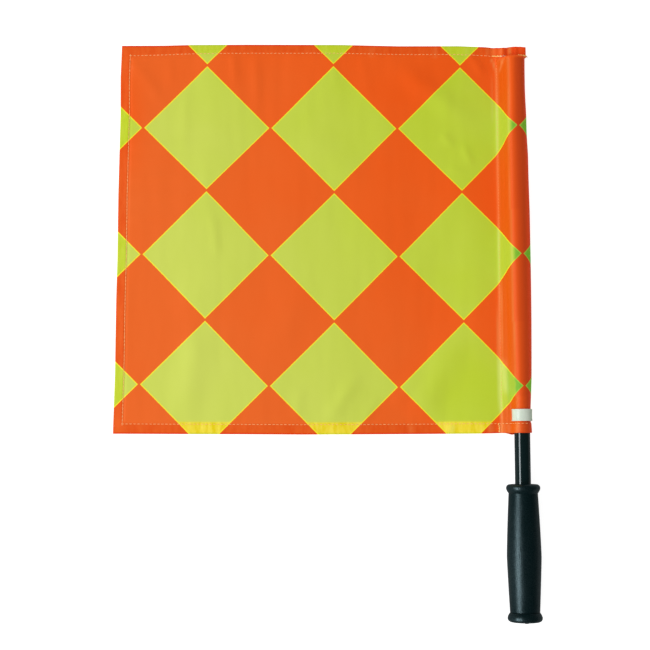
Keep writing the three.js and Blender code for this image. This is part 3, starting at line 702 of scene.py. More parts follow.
def make_tube():
    bore = TUBE_RADIUS - TUBE_WALL
    outline = [(bore, TUBE_FOOT), (TUBE_RADIUS - TUBE_EDGE, TUBE_FOOT)]
    outline += [(TUBE_RADIUS, a) for a in np.linspace(TUBE_FOOT + 0.5, TUBE_TOP - 0.5, TUBE_STATIONS)]
    outline += [(TUBE_RADIUS - TUBE_EDGE, TUBE_TOP), (bore, TUBE_TOP)]
    made = lathe("flag_tube", outline, TUBE_SIDES, "tube_black", closes=True)
    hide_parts("pole_tube")
    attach(made, "pole")


# The clip's strip: its rims' height, width and slope, its rounding, and its rings along the bend
CLIP_RIM = 0.22
RIM_WIDTH = 1.3
RIM_SLOPE = 0.5
CLIP_ROUND = 0.45
CLIP_STATIONS = 72
CLIP_STAND_OFF = 0.3
TIP_LENGTH = 0.6
TIP_SHARES = [0.35, 0.8]
TIP_STEP = 0.3
TIP_NARROWING = 0.1


def clip_section():
    """The strip's rounded outline, as [across its wall, along the pole] from its middle."""
    wall, length = CLIP_WALL / 2, (CLIP_TOP - CLIP_FOOT) / 2
    top = [(wall, length - RIM_WIDTH - RIM_SLOPE), (wall + CLIP_RIM, length - RIM_WIDTH)]
    top += [(wall + CLIP_RIM, length), (-wall, length), (-wall, 0.0)]
    foot = [(across, -along) for across, along in reversed(top)]
    return np.array(rounded(foot + top, CLIP_ROUND))[:-1]


def make_clip():
    """Spring clip: a strip with a raised rim at both its edges, bent into a C and rounded at its tips."""
    section = clip_section()
    middle = SLEEVE_RADIUS + CLIP_STAND_OFF + CLIP_WALL / 2
    start, end = math.radians(CLIP_OPEN_FROM), math.radians(CLIP_OPEN_TO - 360.0)
    tip = TIP_LENGTH / middle
    strip = np.linspace(start - tip, end + tip, CLIP_STATIONS)
    turns = [start, start - tip * TIP_STEP, *strip, end + tip * TIP_STEP, end]
    shares = [*TIP_SHARES, *[1.0] * CLIP_STATIONS, *reversed(TIP_SHARES)]
    rings = []
    for turn, share in zip(turns, shares):
        radius = middle + section[:, 0] * share
        along = (CLIP_FOOT + CLIP_TOP) / 2 + section[:, 1] * (1 - (1 - share) * TIP_NARROWING)
        rings.append(on_pole(radius * math.cos(turn), along, radius * math.sin(turn)))
    count = len(section)
    ends = [range(count), range(len(rings) * count)[:-count - 1:-1]]
    faces = ends + ring_faces(len(rings), count, flips=True)
    made = face_outwards(mesh_object("foot_clip", np.concatenate(rings), faces, "clip_white"))
    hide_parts("sleeve_clip")
    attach(made, "pole")


# Columns of the cloth's grid from the fly edge, and its rows from the foot: distances inside a hem
HEM_PLACES = [0.0, 0.12, 0.35, 0.8, 1.6, 2.8, 4.2, 5.6, 6.8, 7.6, 8.1, 8.6, 9.1, 9.6, 10.2, 11.2, 12.6]
PANEL_COLUMNS = 118
COLUMN_CROWDING = 1.08
BODY_ROWS = 148
CLOSING_ROWS = 18
STRAIGHT_POINTS = 18
ARC_POINTS = 36
UNDER_POINTS = 13
SECTION_POINTS = STRAIGHT_POINTS + ARC_POINTS + UNDER_POINTS
EDGE_ROUND = 0.4
EDGE_SHARE = 0.3
PLEAT_HEIGHT = 1.1
# Tilt of the cloth where it turns over the tube's shoulder and begins to lie on it
SHOULDER_TILT = math.radians(30.0)

# The flat band over the plug: its two layers about their middle, its nose's length and the pleat's rise
BAND_MIDDLE = 0.95
BAND_HALF_GAP = 0.43
BAND_NOSE = 1.4
PLEAT_FROM = (-18.0, 6.0)
PLEAT_TO = (-12.0, 5.0)
# The shoulder's bulge: its half width, its shift, and the extra that it has round one place along the pole
SHOULDER_WIDTH = 5.5
SHOULDER_SHIFT = 0.7
SHOULDER_EXTRA = 1.1
SHOULDER_EXTRA_PLACE = 330.0
SHOULDER_EXTRA_REACH = 75.0
SHOULDER_PASSES = 6
# How fast the right side's stand-off falls away from its middle, and how far the cloth may sink on the tube
STAND_OFF_POWER = 1.6
SINK = 0.2

# How the wander of the cut edges fades into the cloth: a place and its run
TOP_WANDER_FROM = (470.0, 60.0)
FOOT_WANDER_TO = (250.0, 60.0)
FLY_WANDER_TO = (60.0, 50.0)
# How much wider the hems are than even ones, and how far that reaches
TOP_STRETCH = -0.03
CORNER_STRETCH = 0.24
CORNER_REACH = 45.0
FOOT_STRETCH = 0.09
SLEEVE_STRETCH = -0.04
STRETCH_REACH = 60.0
# The hem's inner edge and the dent of its stitches
HEM_EDGE = 0.5
HEM_EDGE_RUN = 0.8
DENT_DEPTH = 0.75
DENT_WIDTH = 0.7
# Gap between the cloth's layers, and how a hem holds the cloth beside it off the table
LAYER_GAP = 0.02
HEM_PROP = 0.3
PROP_REACH = 16.0
# Share of the sleeve's thickness, of its stacked hem at the mouth and further up, and the seam's rise
SLEEVE_THIN = 0.85
MOUTH_STACK = 0.5
SLEEVE_STACK = 0.42
SEAM_RISE = 0.45

# Soft folds of the cloth: where each starts and ends, its half width and its height
FOLDS = [
    (-98, 196, -60, 268, 15, 2.4), (-184, 192, -158, 232, 7, 1.3), (-214, 192, -212, 222, 5, 0.7),
    (-309, 275, -324, 195, 15, 2.3), (-372, 545, -348, 505, 6, 0.7), (-277, 549, -274, 520, 3.5, 0.9),
    (-323, 512, -323, 455, 6, 0.7), (-254, 548, -253, 500, 5, 0.8), (-114, 536, -52, 488, 11, 2.0),
    (-44, 550, -32, 530, 4.5, 1.1), (-72, 470, -63, 459, 4, 0.9), (-51, 459, -45, 440, 3.5, 0.8),
    (-66, 436, -54, 433, 3.5, 0.5), (-376, 456, -318, 462, 4.5, 0.5), (-378, 440, -300, 452, 4.5, 0.45),
    (-378, 424, -322, 430, 4, 0.45), (-378, 404, -310, 414, 5, 0.5), (-378, 384, -330, 392, 4, 0.4),
    (-297, 392, -291, 352, 4, 0.7), (-205, 470, -150, 420, 16, 0.9), (-150, 545, -143, 505, 5, 0.5),
    (-120, 206, -100, 236, 7, 0.8), (-330, 300, -260, 350, 18, 0.9), (-240, 260, -200, 330, 16, 0.8),
    (-100, 330, -60, 420, 14, 0.8), (-180, 545, -176, 516, 4, 0.4), (-340, 548, -336, 520, 4, 0.4),
    (-150, 190, -138, 212, 5, 0.6),
]
# Creases with a painted highlight, a pale sheen on the print: where each starts and ends, its half width and its
# share
SHEEN_STREAKS = [
    (-26.6, 548, -26.4, 560, 1.0, 0.75), (-21.8, 548, -21.6, 560, 1.2, 0.6),
    (-13.8, 549, -13.6, 560, 1.0, 0.45), (-5.6, 549, -5.2, 560, 1.6, 0.75),
    (5.2, 550, 5.6, 560, 1.2, 0.6), (-23.2, 546, -18.8, 533, 1.1, 0.95),
    (-11.8, 544, -15.6, 531, 1.0, 0.75), (-23.5, 530, -22.5, 480, 1.0, 0.3),
    (-15.5, 547, -12.5, 538, 0.8, 0.3), (-18.0, 179, -18.2, 189, 2.6, 0.6),
    (-4.5, 179, -4.5, 189, 2.2, 0.55), (-29.0, 179, -29.5, 188, 1.8, 0.6),
    (-11.0, 179, -12.5, 188, 1.4, 0.25), (-17.5, 190, -19.5, 214, 1.0, 0.45),
    (1.0, 179, 0.6, 187, 1.3, 0.35), (-13.5, 216, -16.5, 250, 3.2, 0.85), (-66, 179, -64, 187, 2.5, 0.35),
    (-104, 179, -107, 188, 2.0, 0.3), (-47, 558, -46, 546, 1.8, 0.35), (-78, 558, -79, 545, 2.0, 0.3),
    (-140, 558, -141, 546, 1.8, 0.3), (-20.8, 300, -20.8, 200, 1.0, 0.6),
]
# How a fold and a painted sheen streak start and end, as shares of their length: start, run, end, run
FOLD_ENDS = (-0.15, 0.4, 1.25, 0.6)
SHEEN_ENDS = (-0.1, 0.3, 1.1, 0.3)
# Soft noises over the cloth: height, seed, length across and length along
PANEL_WAVES = [(0.55, 3.1, 46, 150), (0.15, 7.7, 11, 70), (0.08, 1.3, 5, 22)]
PUCKER_SEEDS = (11.0, 17.0, 23.0)
PUCKER_SIZE = (4.6, 1.0)
PUCKER_HEIGHT = 0.2
PUCKER_RUN = 9.0
SLEEVE_RIDGES = [(0.22, 5.5, 3.4, 120), (0.16, 9.1, 1.9, 60)]
BAND_RIPPLE = (0.3, 6.2, 2.8, 60)
GATHER_RIPPLE = (0.55, 2.2, 2.3, 30)
LOOSE_WAVES = (0.12, 4.4, 6, 90)
# The painted highlight's uneven strength along the sleeve, and its least share
UNEVEN_SHEEN = (0.35, 12.4, 40, 26)
LEAST_SHEEN = 0.45
# Distances from the panel's edge between which each noise shows on the sleeve, with their runs
RIDGES_FROM = (1.0, 3.0)
RIDGES_TO = (20.0, 6.0)
BAND_TO = (30.0, 3.0)
GATHERS_TO = (50.0, 8.0)
LOOSE_FROM = (12.0, 8.0)
LOOSE_TO = (48.0, 8.0)
# Soft lines beside the seam, raised ones and painted highlights: height or share, distance, half width,
# start along the pole and its run, end and its run
SEAM_RIDGES = [(0.33, 2.3, 0.9, 100, 10, 542, 7), (0.45, 5.6, 1.1, 100, 10, 400, 120)]
SEAM_SHEEN = [(0.65, 2.9, 1.5, 100, 10, 539, 7), (0.9, 5.5, 1.0, 240, 10, 345, 50)]
# The lump beside the plug: its height, distance from the panel's edge, place along the pole and reach
LUMP = (0.9, 5.0, 543.0, 3.2)
GATHER_REACH = 9.0
# Places along the pole, with their runs: the band's ripples and its print, and the slack below the crown
BAND_FROM = (545.0, 3.0)
BAND_PRINT_FROM = (546.5, 2.5)
SLACK_TO = (515.0, 60.0)
# The shaded pocket over the clip
POCKET_PLACE = 226.0
POCKET_REACH = 26.0
# How pale the print is: where it is half pale, the runs that it takes, and two spots where it is deeper, the lower
# one painted fold shade
PALE_MIDDLE = (-150.0, 330.0)
PALE_RUN = (420.0, 750.0)
DEEPER_SPOTS = [(0.45, -50.0, 212.0, 45.0, 45.0), (0.9, -390.0, 480.0, 22.0, 55.0)]


def strokes(table, ends, x, along):
    """Sum of a table's soft strokes at places on the cloth."""
    total = np.zeros(np.broadcast(x, along).shape)
    start, start_run, end, end_run = ends
    for x0, y0, x1, y1, width, height in table:
        length = math.hypot(x1 - x0, y1 - y0)
        right, up = (x1 - x0) / length, (y1 - y0) / length
        t = ((x - x0) * right + (along - y0) * up) / length
        across = (x - x0) * up - (along - y0) * right
        total += height * hump(across, width) * rise(t, start, start_run) * fall(t, end, end_run)
    return total


def seam_lines(table, flat, along):
    """Sum of a table's soft lines beside the seam."""
    total = 0 * flat
    for height, distance, width, start, start_run, end, end_run in table:
        shown = rise(along, start, start_run) * fall(along, end, end_run)
        total = total + height * hump(flat - distance, width) * shown
    return total


def ripple(x, along, height, seed, wide, tall):
    """Smooth noise over the cloth, from about 0 to about twice a height."""
    across, down = np.broadcast_arrays(x, along)
    flat = [noise.noise(Vector((a / wide, b / tall, seed))) for a, b in zip(across.flat, down.flat)]
    return height * (1 + np.array(flat).reshape(across.shape) * 1.6)


def hem_stretch(distance, share):
    """Extra distance from an edge where a hem is wider by a share, fading beyond it."""
    deep = HEM_PLACES[-1]
    beyond = deep * fall(distance, STRETCH_REACH, STRETCH_REACH - deep)
    return share * np.where(distance < deep, distance, beyond)


def settle_rows(x, along, near_sleeve):
    """Where the cloth's rows lie once its top and foot wander and its hems vary in width."""
    corner = np.exp(-(x + FLY_REACH_TOP) / CORNER_REACH)
    in_panel = rise(along, *TOP_WANDER_FROM)
    high = in_panel + (rise(along, CLOSING_FROM, 4.0) - in_panel) * near_sleeve
    moved = wander(TOP_WANDER, x) * high + wander(FOOT_WANDER, x) * fall(along, *FOOT_WANDER_TO)
    top = hem_stretch(CLOTH_TOP - along, TOP_STRETCH + CORNER_STRETCH * corner)
    foot = hem_stretch(along - CLOTH_FOOT, FOOT_STRETCH + SLEEVE_STRETCH * near_sleeve)
    return along + (moved - top * (1.0 - near_sleeve)) + foot


def fly_edge(along):
    share = (along - CLOTH_FOOT) / (CLOTH_TOP - CLOTH_FOOT)
    return -(FLY_REACH_BOTTOM + (FLY_REACH_TOP - FLY_REACH_BOTTOM) * share)


def hem_profile(distance):
    """Share of the hem's extra layers at a distance from the edge, with the dent of its stitches."""
    dent = DENT_DEPTH * hump(distance - STITCH_INSET, DENT_WIDTH)
    return fall(distance, HEM_WIDTH + HEM_EDGE, HEM_EDGE_RUN) * (1.0 - dent)


def edge_round(distance):
    """Share of the thickness left near an edge, where the cloth turns back on itself."""
    share = np.clip(distance / EDGE_ROUND, 0.0, 1.0)
    return EDGE_SHARE + (1.0 - EDGE_SHARE) * np.sqrt(1.0 - (1.0 - share) ** 2)


def off_sleeve(x, gap, run):
    """Eases to 1 as the panel leaves the sleeve."""
    return fall(x, -PANEL_EDGE - gap, run)


def panel_grid(rows):
    """Places and heights of the cloth's middle from the fly edge to the fold beside the sleeve."""
    fly = fly_edge(rows)[:, None]
    hem = np.array(HEM_PLACES)[None, :]
    share = np.linspace(0.0, 1.0, PANEL_COLUMNS + 1)[None, 1:]
    share = 1.0 - (1.0 - share) ** COLUMN_CROWDING
    start = fly + hem[:, -1:]
    x = np.concatenate([fly + hem, start + (-PANEL_EDGE - start) * share], axis=1)
    along = rows[:, None] + 0 * x
    from_fly, from_foot, from_top = x - fly, along - CLOTH_FOOT, CLOTH_TOP - along
    inside = np.minimum(from_fly, np.minimum(from_foot, from_top))
    long_hems = np.maximum(hem_profile(from_foot), hem_profile(from_top)) * off_sleeve(x, 1.5, 4.0)
    hems = np.maximum(hem_profile(from_fly), long_hems)
    folds = strokes(FOLDS, FOLD_ENDS, x, along) * off_sleeve(x, 1.0, 8.0)
    waves = sum(ripple(x, along, *wave) for wave in PANEL_WAVES) * off_sleeve(x, 1.0, 32.0)
    height = rise(inside, 2.0, 12.0) * (folds + waves)
    for distance, place, seed in zip((from_fly, from_top, from_foot), (along, x, x), PUCKER_SEEDS):
        fade = rise(distance, 0.0, 1.5) * np.exp(-np.abs(distance - STITCH_INSET) / PUCKER_RUN)
        height += ripple(place, 0 * x, PUCKER_HEIGHT, seed, *PUCKER_SIZE) * fade * off_sleeve(x, 0.0, 6.0)
    thick = (CLOTH + (HEM_STACK - CLOTH) * hems) * edge_round(inside)
    past_hem = inside - HEM_WIDTH
    under = LAYER_GAP + HEM_PROP * rise(past_hem, 0.0, 2.0) * np.exp(-np.maximum(past_hem, 0) / PROP_REACH)
    step = 0.6 * CLOTH * rise(x, -PANEL_EDGE - 3.0, 3.0)
    ground = -AXIS[2] * from_top * rise(x, -PANEL_EDGE - DROP_RUN, DROP_RUN)
    x = x + wander(FLY_WANDER, along) * fall(from_fly, *FLY_WANDER_TO)
    return x, ground + under + height + step + thick / 2, thick, hems


def leave_angle(along, tangent):
    """Where the top layer leaves the tube: close to it at the clip, and on a tangent further up."""
    if along < CLIP_FOOT:
        share = (along - CLOTH_FOOT) / (CLIP_FOOT - CLOTH_FOOT)
        return FOOT_LEAVE_ANGLE + (CLIP_LEAVE_ANGLE - FOOT_LEAVE_ANGLE) * share
    return CLIP_LEAVE_ANGLE + (tangent - CLIP_LEAVE_ANGLE) * float(rise(along, HUG_FOOT, HUG_RUN))


def sleeve_line(along, radius):
    """The cloth's line round the tube: straight up from the seam, over the tube and back under it."""
    start = np.array([-SEAM_DISTANCE, -SLEEVE_RADIUS + 1.5 * CLOTH + LAYER_GAP])
    lean = math.atan2(-start[1], -start[0]) + math.asin(radius / np.linalg.norm(start))
    tangent = math.degrees(lean) + 90.0
    turns = np.radians(np.linspace(leave_angle(along, tangent), -90.0, ARC_POINTS))
    stand_off = float(wander(SLEEVE_BULGE, along)) * np.maximum(np.cos(turns), 0.0) ** STAND_OFF_POWER
    arc = np.stack([radius * np.cos(turns) + stand_off, radius * np.sin(turns)], axis=1)
    straight = start + (arc[0] - start) * np.linspace(0.0, 1.0, STRAIGHT_POINTS + 1)[:-1, None]
    floor = -SLEEVE_RADIUS + CLOTH / 2 - LAYER_GAP
    under_x = np.linspace(0.0, -NOSE_DISTANCE, UNDER_POINTS + 1)[1:]
    arc[-1, 1] = max(arc[-1, 1], floor)
    return np.concatenate([straight, arc, np.stack([under_x, np.full(UNDER_POINTS, floor)], axis=1)])


def sleeve_section(along, thick):
    """The cloth's middle line round the tube at one place, as [x, up], with its shoulder standing off."""
    radius = SLEEVE_RADIUS - CLOTH + thick / 2
    made = sleeve_line(along, radius)
    run = lengths(made)
    bulge = float(wander(SHOULDER_BULGE, along))
    extra = SHOULDER_EXTRA * hump(along - SHOULDER_EXTRA_PLACE, SHOULDER_EXTRA_REACH)
    shoulder = run - run[STRAIGHT_POINTS] + SHOULDER_SHIFT * bulge + extra
    slope = np.gradient(made, axis=0)
    slope /= np.linalg.norm(slope, axis=1, keepdims=True)
    outward = np.stack([-slope[:, 1], slope[:, 0]], axis=1)
    made += outward * (bulge * hump(shoulder, SHOULDER_WIDTH) * rise(run, 0.0, 6.0))[:, None]
    low, high = 2, STRAIGHT_POINTS + 9
    for _ in range(SHOULDER_PASSES):
        made[low:high] = (made[low - 1:high - 1] + 2 * made[low:high] + made[low + 1:high + 1]) / 4
    nearest = radius - SINK * (CLIP_TOP < along)
    distance = np.linalg.norm(made, axis=1)
    inside = (distance < nearest) & (np.arange(len(made)) < STRAIGHT_POINTS + ARC_POINTS)
    made[inside] *= (nearest / distance[inside])[:, None]
    return made


def flat_section(round_section):
    """The same points on the flat band that the top hem makes."""
    place = lengths(round_section)
    share = place / place[-1]
    width = CLOSURE_REACH + SEAM_DISTANCE
    x = -SEAM_DISTANCE + width * np.where(share < 0.5, share * 2, 2 - share * 2)
    x = np.where(share > 0.5, x - (NOSE_DISTANCE - SEAM_DISTANCE) * (share - 0.5) * 2, x)
    turn = np.clip((share - 0.5) * place[-1] / BAND_NOSE, -1, 1) * math.pi / 2
    lift = BAND_MIDDLE - BAND_HALF_GAP * np.sin(turn)
    up = -SLEEVE_RADIUS + CLOSURE_RISE * (x + SEAM_DISTANCE) / width + lift
    pleat = rise(x, *PLEAT_FROM) - rise(x, *PLEAT_TO)
    return np.stack([x, up + PLEAT_HEIGHT * pleat], axis=1)


def sleeve_grid(rows):
    """The cloth round the tube: its middle, its thickness, how far along the cloth each place is from the
    panel's edge, its hem's share and how far each place is past the shoulder."""
    points, thicks, flats, hems, turns = [], [], [], [], []
    column = np.arange(SECTION_POINTS)
    by_seam = rise(column, 1, 5.0) * fall(column, SECTION_POINTS - 1, 8.0)
    join = math.hypot(PANEL_EDGE - SEAM_DISTANCE, SEAM_RISE)
    for along in rows:
        edge = min(along - CLOTH_FOOT, CLOTH_TOP - along)
        hem = float(hem_profile(edge))
        closed = float(rise(along, CLOSING_FROM, TOP_STITCH - 0.5 - CLOSING_FROM))
        stack = MOUTH_STACK if along < CLIP_FOOT else SLEEVE_STACK
        section = sleeve_section(along, CLOTH + (stack * hem if along < CLIP_FOOT else 0.0))
        flats.append(lengths(section) + join)
        slope = np.gradient(section, axis=0)
        tilt = np.arctan2(slope[:, 1], slope[:, 0])
        over = np.argmax((tilt < SHOULDER_TILT) & (column > STRAIGHT_POINTS // 2))
        turns.append(flats[-1] - flats[-1][over])
        points.append(section + (flat_section(section) - section) * closed)
        thicks.append((CLOTH * SLEEVE_THIN + stack * hem * by_seam) * float(edge_round(edge)))
        hems.append(np.full(SECTION_POINTS, hem))
    return [np.array(values) for values in (points, thicks, flats, hems, turns)]


def sleeve_wrinkles(flat, rows):
    """How far the sleeve's cloth stands off its smooth section."""
    along = rows[:, None] + 0 * flat
    ridges = sum(ripple(flat, along, *ridge) for ridge in SLEEVE_RIDGES)
    ridges *= rise(flat, *RIDGES_FROM) * fall(flat, *RIDGES_TO)
    seam = seam_lines(SEAM_RIDGES, flat, along)
    height, distance, place, reach = LUMP
    lump = height * hump(np.hypot(flat - distance, along - place), reach)
    band = ripple(flat, along, *BAND_RIPPLE) * rise(along, *BAND_FROM) * fall(flat, *BAND_TO)
    from_top = TOP_STITCH - along
    gather = np.exp(-np.maximum(from_top, 0) / GATHER_REACH) * rise(from_top, -1.0, 2.0)
    puckers = ripple(flat, along, *GATHER_RIPPLE) * gather * fall(flat, *GATHERS_TO)
    loose = ripple(flat, along, *LOOSE_WAVES) * rise(flat, *LOOSE_FROM) * fall(flat, *LOOSE_TO)
    return ridges + seam + lump + band + puckers + loose


def cloth_rows():
    """Places of the grid's rows along the pole."""
    hem = np.array(HEM_PLACES)
    low, high = CLOTH_FOOT + hem, CLOTH_TOP - hem[::-1]
    closing = np.linspace(PLUG_CROWN - 9.0, high[0], CLOSING_ROWS + 2)[1:-1]
    body = np.linspace(low[-1], closing[0], BODY_ROWS + 2)[1:-1]
    return np.concatenate([low, body, closing, high])


def grid_normals(points):
    """Unit normals of a grid of points, out of the cloth's face."""
    normal = np.cross(np.gradient(points, axis=1), np.gradient(points, axis=0))
    return normal / np.linalg.norm(normal, axis=2, keepdims=True)


def drifted(x, y):
    """Print coordinates on cloth whose pattern lies a little off an even grid."""
    turn = math.radians(PATTERN_TURN)
    total, right, up = 1e-6, 0.0, 0.0
    for column, row, shift_right, shift_up in PRINT_DRIFT:
        across, down = HALF_DIAGONAL * column, -HALF_DIAGONAL * row
        at_x = PATTERN_X + across * math.cos(turn) - down * math.sin(turn)
        at_y = PATTERN_Y + across * math.sin(turn) + down * math.cos(turn)
        weight = np.exp(-((x - at_x) ** 2 + (y - at_y) ** 2) / (2 * DRIFT_REACH ** 2)) + 1e-9
        total, right, up = total + weight, right + weight * shift_right, up + weight * shift_up
    return x - right / total, y - up / total


def beside(panel, sleeve):
    """The cloth's whole grid from the panel's and the sleeve's."""
    return np.concatenate([panel, sleeve], axis=1)


def print_paleness(x, y):
    """How pale the print is: more so to the left and low down, but for two deeper spots, the lower one painted
    fold shade.
    """
    pale_share = 0.5 + (PALE_MIDDLE[0] - x) / PALE_RUN[0] + (PALE_MIDDLE[1] - y) / PALE_RUN[1]
    for share, at_x, at_y, wide, tall in DEEPER_SPOTS:
        pale_share = pale_share - share * hump(x - at_x, wide) * hump(y - at_y, tall)
    return smooth(pale_share)


def sleeve_shades(x, along, flat, past_shoulder):
    """The sleeve's painted light: shade over the tube and green there, paler on the side turned from the lamp,
    darker where lit, and highlights along the seam, shoulder and creases.
    """
    top_layer = rise(np.arange(SECTION_POINTS)[::-1], UNDER_POINTS + 2, 3.0)
    below_band = fall(along, PLUG_CROWN + 1.0, 3.0)
    shown = top_layer * below_band
    in_band = rise(along, *BAND_PRINT_FROM) * top_layer
    low_pocket = hump(along - POCKET_PLACE, POCKET_REACH)
    # Below the crown the cloth is slack, and its shade starts earlier and is softer
    slack = fall(along, *SLACK_TO)
    past_shoulder = past_shoulder + 1.2 * slack
    # Painted shade: the lime turns green over the tube, a little beside it, and in the shaded pocket over the clip
    green_shade = 0.08 * rise(flat, 6.0, 4.0) + 0.34 * low_pocket * rise(flat, 9.0, 2.5)
    green_shade = np.maximum(green_shade, rise(past_shoulder, -1.5 - 3.5 * low_pocket, 4.5)) * shown
    # Painted shade where the cloth lies over the black tube, and on the band over the plug, over the tube and in
    # its pleat
    crown = rise(past_shoulder, -0.6 - 2.0 * slack, 9.0 + 3.5 * slack) * shown
    crown += in_band * (0.75 * rise(x, -5.0, 2.5) + 0.9 * hump(x + 9.6, 1.9))
    # Painted light: the painted shade over the tube is paler on the side turned from the lamp and on the band over
    # the plug
    side = np.maximum(rise(x, 4.0, 4.0) * top_layer, in_band)
    # Painted shade: the sleeve's face between the seam and the shoulder, where the lamp falls most, is darker
    lit = rise(flat, 3.0, 2.0) * fall(past_shoulder, 0.5, 2.0) * shown
    # Painted highlight beside the seam, along the shoulder and in the creases
    painted_highlight = seam_lines(SEAM_SHEEN, flat, along) + 0.55 * hump(past_shoulder + 1.4, 1.3) * top_layer
    painted_highlight *= (LEAST_SHEEN + ripple(flat, along, *UNEVEN_SHEEN)) * below_band
    painted_highlight += strokes(SHEEN_STREAKS, SHEEN_ENDS, x, along) * top_layer
    return {"painted_tube_shade": crown, "side": side, "lit": lit, "painted_sheen": painted_highlight, "green_shade": green_shade}


def cloth_grid():
    """The cloth as one grid from the fly edge to the seam: its middle, thickness, print and shades."""
    rows = cloth_rows()
    panel_x, height, thick, hems = panel_grid(rows)
    panel_along = settle_rows(panel_x, rows[:, None] + 0 * panel_x, rise(panel_x, -60.0, 38.0))
    section, sleeve_thick, flat, sleeve_hems, past_shoulder = sleeve_grid(rows)
    x, up = section[..., 0], section[..., 1]
    along = rows[:, None] + 0 * x
    column = np.arange(SECTION_POINTS)
    # The back layer hangs a little out of the sleeve's mouth, and the band's edge is lifted over the plug
    at_back = rise(column, STRAIGHT_POINTS + ARC_POINTS - 1, 4.0) * fall(column, SECTION_POINTS - 1, 4.0)
    sag = 0.7 * rise(x, -17.0, 8.0) + 0.9 * hump(x + 8.5, 3.0)
    sag = sag * fall(along, CLOTH_FOOT + 6.0, 6.0) * at_back
    lifted = rise(x, -11.0, 6.0) * rise(along, PLUG_CROWN + 4.0, 5.0) * rise(column, 2, 4.0)
    along = settle_rows(x, along, 1.0) - sag + 0.5 * lifted
    sleeve = on_pole(x, along, up)
    sleeve += grid_normals(sleeve) * sleeve_wrinkles(flat, rows)[..., None]
    print_y = beside(panel_along, along) * AXIS[1] + SLEEVE_RADIUS * AXIS[2]
    print_x, print_y = drifted(beside(panel_x, -PANEL_EDGE + flat), print_y)
    shades = {name: beside(0 * panel_x, values)
              for name, values in sleeve_shades(x, along, flat, past_shoulder).items()}
    shades["painted_sheen"][:, :panel_x.shape[1]] = strokes(SHEEN_STREAKS, SHEEN_ENDS, panel_x, panel_along)
    shades["hem"] = beside(hems, sleeve_hems)
    shades["low_hem"] = fall(rows, CLOTH_FOOT + HEM_WIDTH + 2.4, 2.0)[:, None] + 0 * print_x
    # Painted shade along the folded top and foot edges
    shades["rim"] = fall(np.minimum(CLOTH_TOP - rows, rows - CLOTH_FOOT), 1.5, 0.9)[:, None] + 0 * print_x
    shades["pale_share"] = print_paleness(print_x, print_y)
    return {
        "rows": rows,
        "points": beside(on_table(panel_x, panel_along, height), sleeve),
        "thick": beside(thick, sleeve_thick),
        "print": np.stack([print_x, print_y], axis=2),
        "shades": shades,
    }


def make_cloth(grid):
    """The cloth as one closed sheet."""
    half = grid_normals(grid["points"]) * grid["thick"][..., None] / 2
    face, back = grid["points"] + half, grid["points"] - half
    grid["face"], grid["back"] = face, back
    rows, columns = face.shape[:2]
    index = np.arange(rows * columns).reshape(rows, columns)
    under = index + rows * columns
    faces = []
    for top, flip in ((index, False), (under, True)):
        quads = np.stack([top[:-1, :-1], top[:-1, 1:], top[1:, 1:], top[1:, :-1]], axis=-1).reshape(-1, 4)
        faces.append(quads[:, ::-1] if flip else quads)
    borders = (
        (index[0], under[0], False), (index[-1], under[-1], True),
        (index[:, 0], under[:, 0], True), (index[:, -1], under[:, -1], False),
    )
    for upper, lower, flip in borders:
        quads = np.stack([upper[1:], upper[:-1], lower[:-1], lower[1:]], axis=-1)
        faces.append(quads[:, ::-1] if flip else quads)
    points = np.concatenate([face.reshape(-1, 3), back.reshape(-1, 3)])
    made = mesh_object("flag_sheet", points, np.concatenate(faces), "flag_cloth", 60.0)
    mesh = made.data
    flat = np.tile(grid["print"].reshape(-1, 2) * MM, (2, 1))
    corners = np.zeros(len(mesh.loops), int)
    mesh.loops.foreach_get("vertex_index", corners)
    layer = mesh.uv_layers.new(name="print")
    layer.data.foreach_set("uv", flat[corners].astype(np.float32).ravel())
    for name in SHADES:
        values = np.tile(grid["shades"][name].reshape(-1), 2)
        mesh.attributes.new(name, "FLOAT", "POINT").data.foreach_set("value", values.astype(np.float32))
    return made


def at_row(grid, along, first, last, side="face"):
    """A line across the cloth at one place along the pole, between two columns."""
    surface, rows = grid[side], grid["rows"]
    columns = range(first, last)
    return np.stack([[np.interp(along, rows, surface[:, c, k]) for k in range(3)] for c in columns])


def at_distance(grid, distance, start, end, side):
    """A line along the cloth at one distance from the fly edge."""
    shown = (start <= grid["rows"]) & (grid["rows"] <= end)
    hem = grid[side][shown, :len(HEM_PLACES)]
    return np.array([[np.interp(distance, HEM_PLACES, row[:, k]) for k in range(3)] for row in hem])


def thread_tree(name, **sizes):
    """A tree with a mesh in, a mesh out, a material and sizes in millimetres, and what goes into it."""
    tree = bpy.data.node_groups.new(name, "GeometryNodeTree")
    tree.interface.new_socket("Geometry", in_out="INPUT", socket_type="NodeSocketGeometry")
    tree.interface.new_socket("Geometry", in_out="OUTPUT", socket_type="NodeSocketGeometry")
    tree.interface.new_socket("Material", in_out="INPUT", socket_type="NodeSocketMaterial")
    for label, size in sizes.items():
        socket = tree.interface.new_socket(label, in_out="INPUT", socket_type="NodeSocketFloat")
        socket.default_value = size * MM
    made = Tree(tree, "GeometryNode")
    return made, made.node("NodeGroupInput").outputs


def end_tree(made, source, given):
    """Realize Instances, smooth shading and Set Material, at the end of each tree."""
    realized = made.node("RealizeInstances", {"Geometry": source})
    shaded = made.node("SetShadeSmooth", {"Geometry": realized})
    painted = made.node("SetMaterial", {"Geometry": shaded, "Material": given["Material"]})
    made.node("NodeGroupOutput", {"Geometry": painted})
    return made.tree


# Lowest and highest share of a stitch's length, at their sockets, and their seed
STITCH_SPREAD = {2: 0.86, 3: 1.1, "Seed": 7}


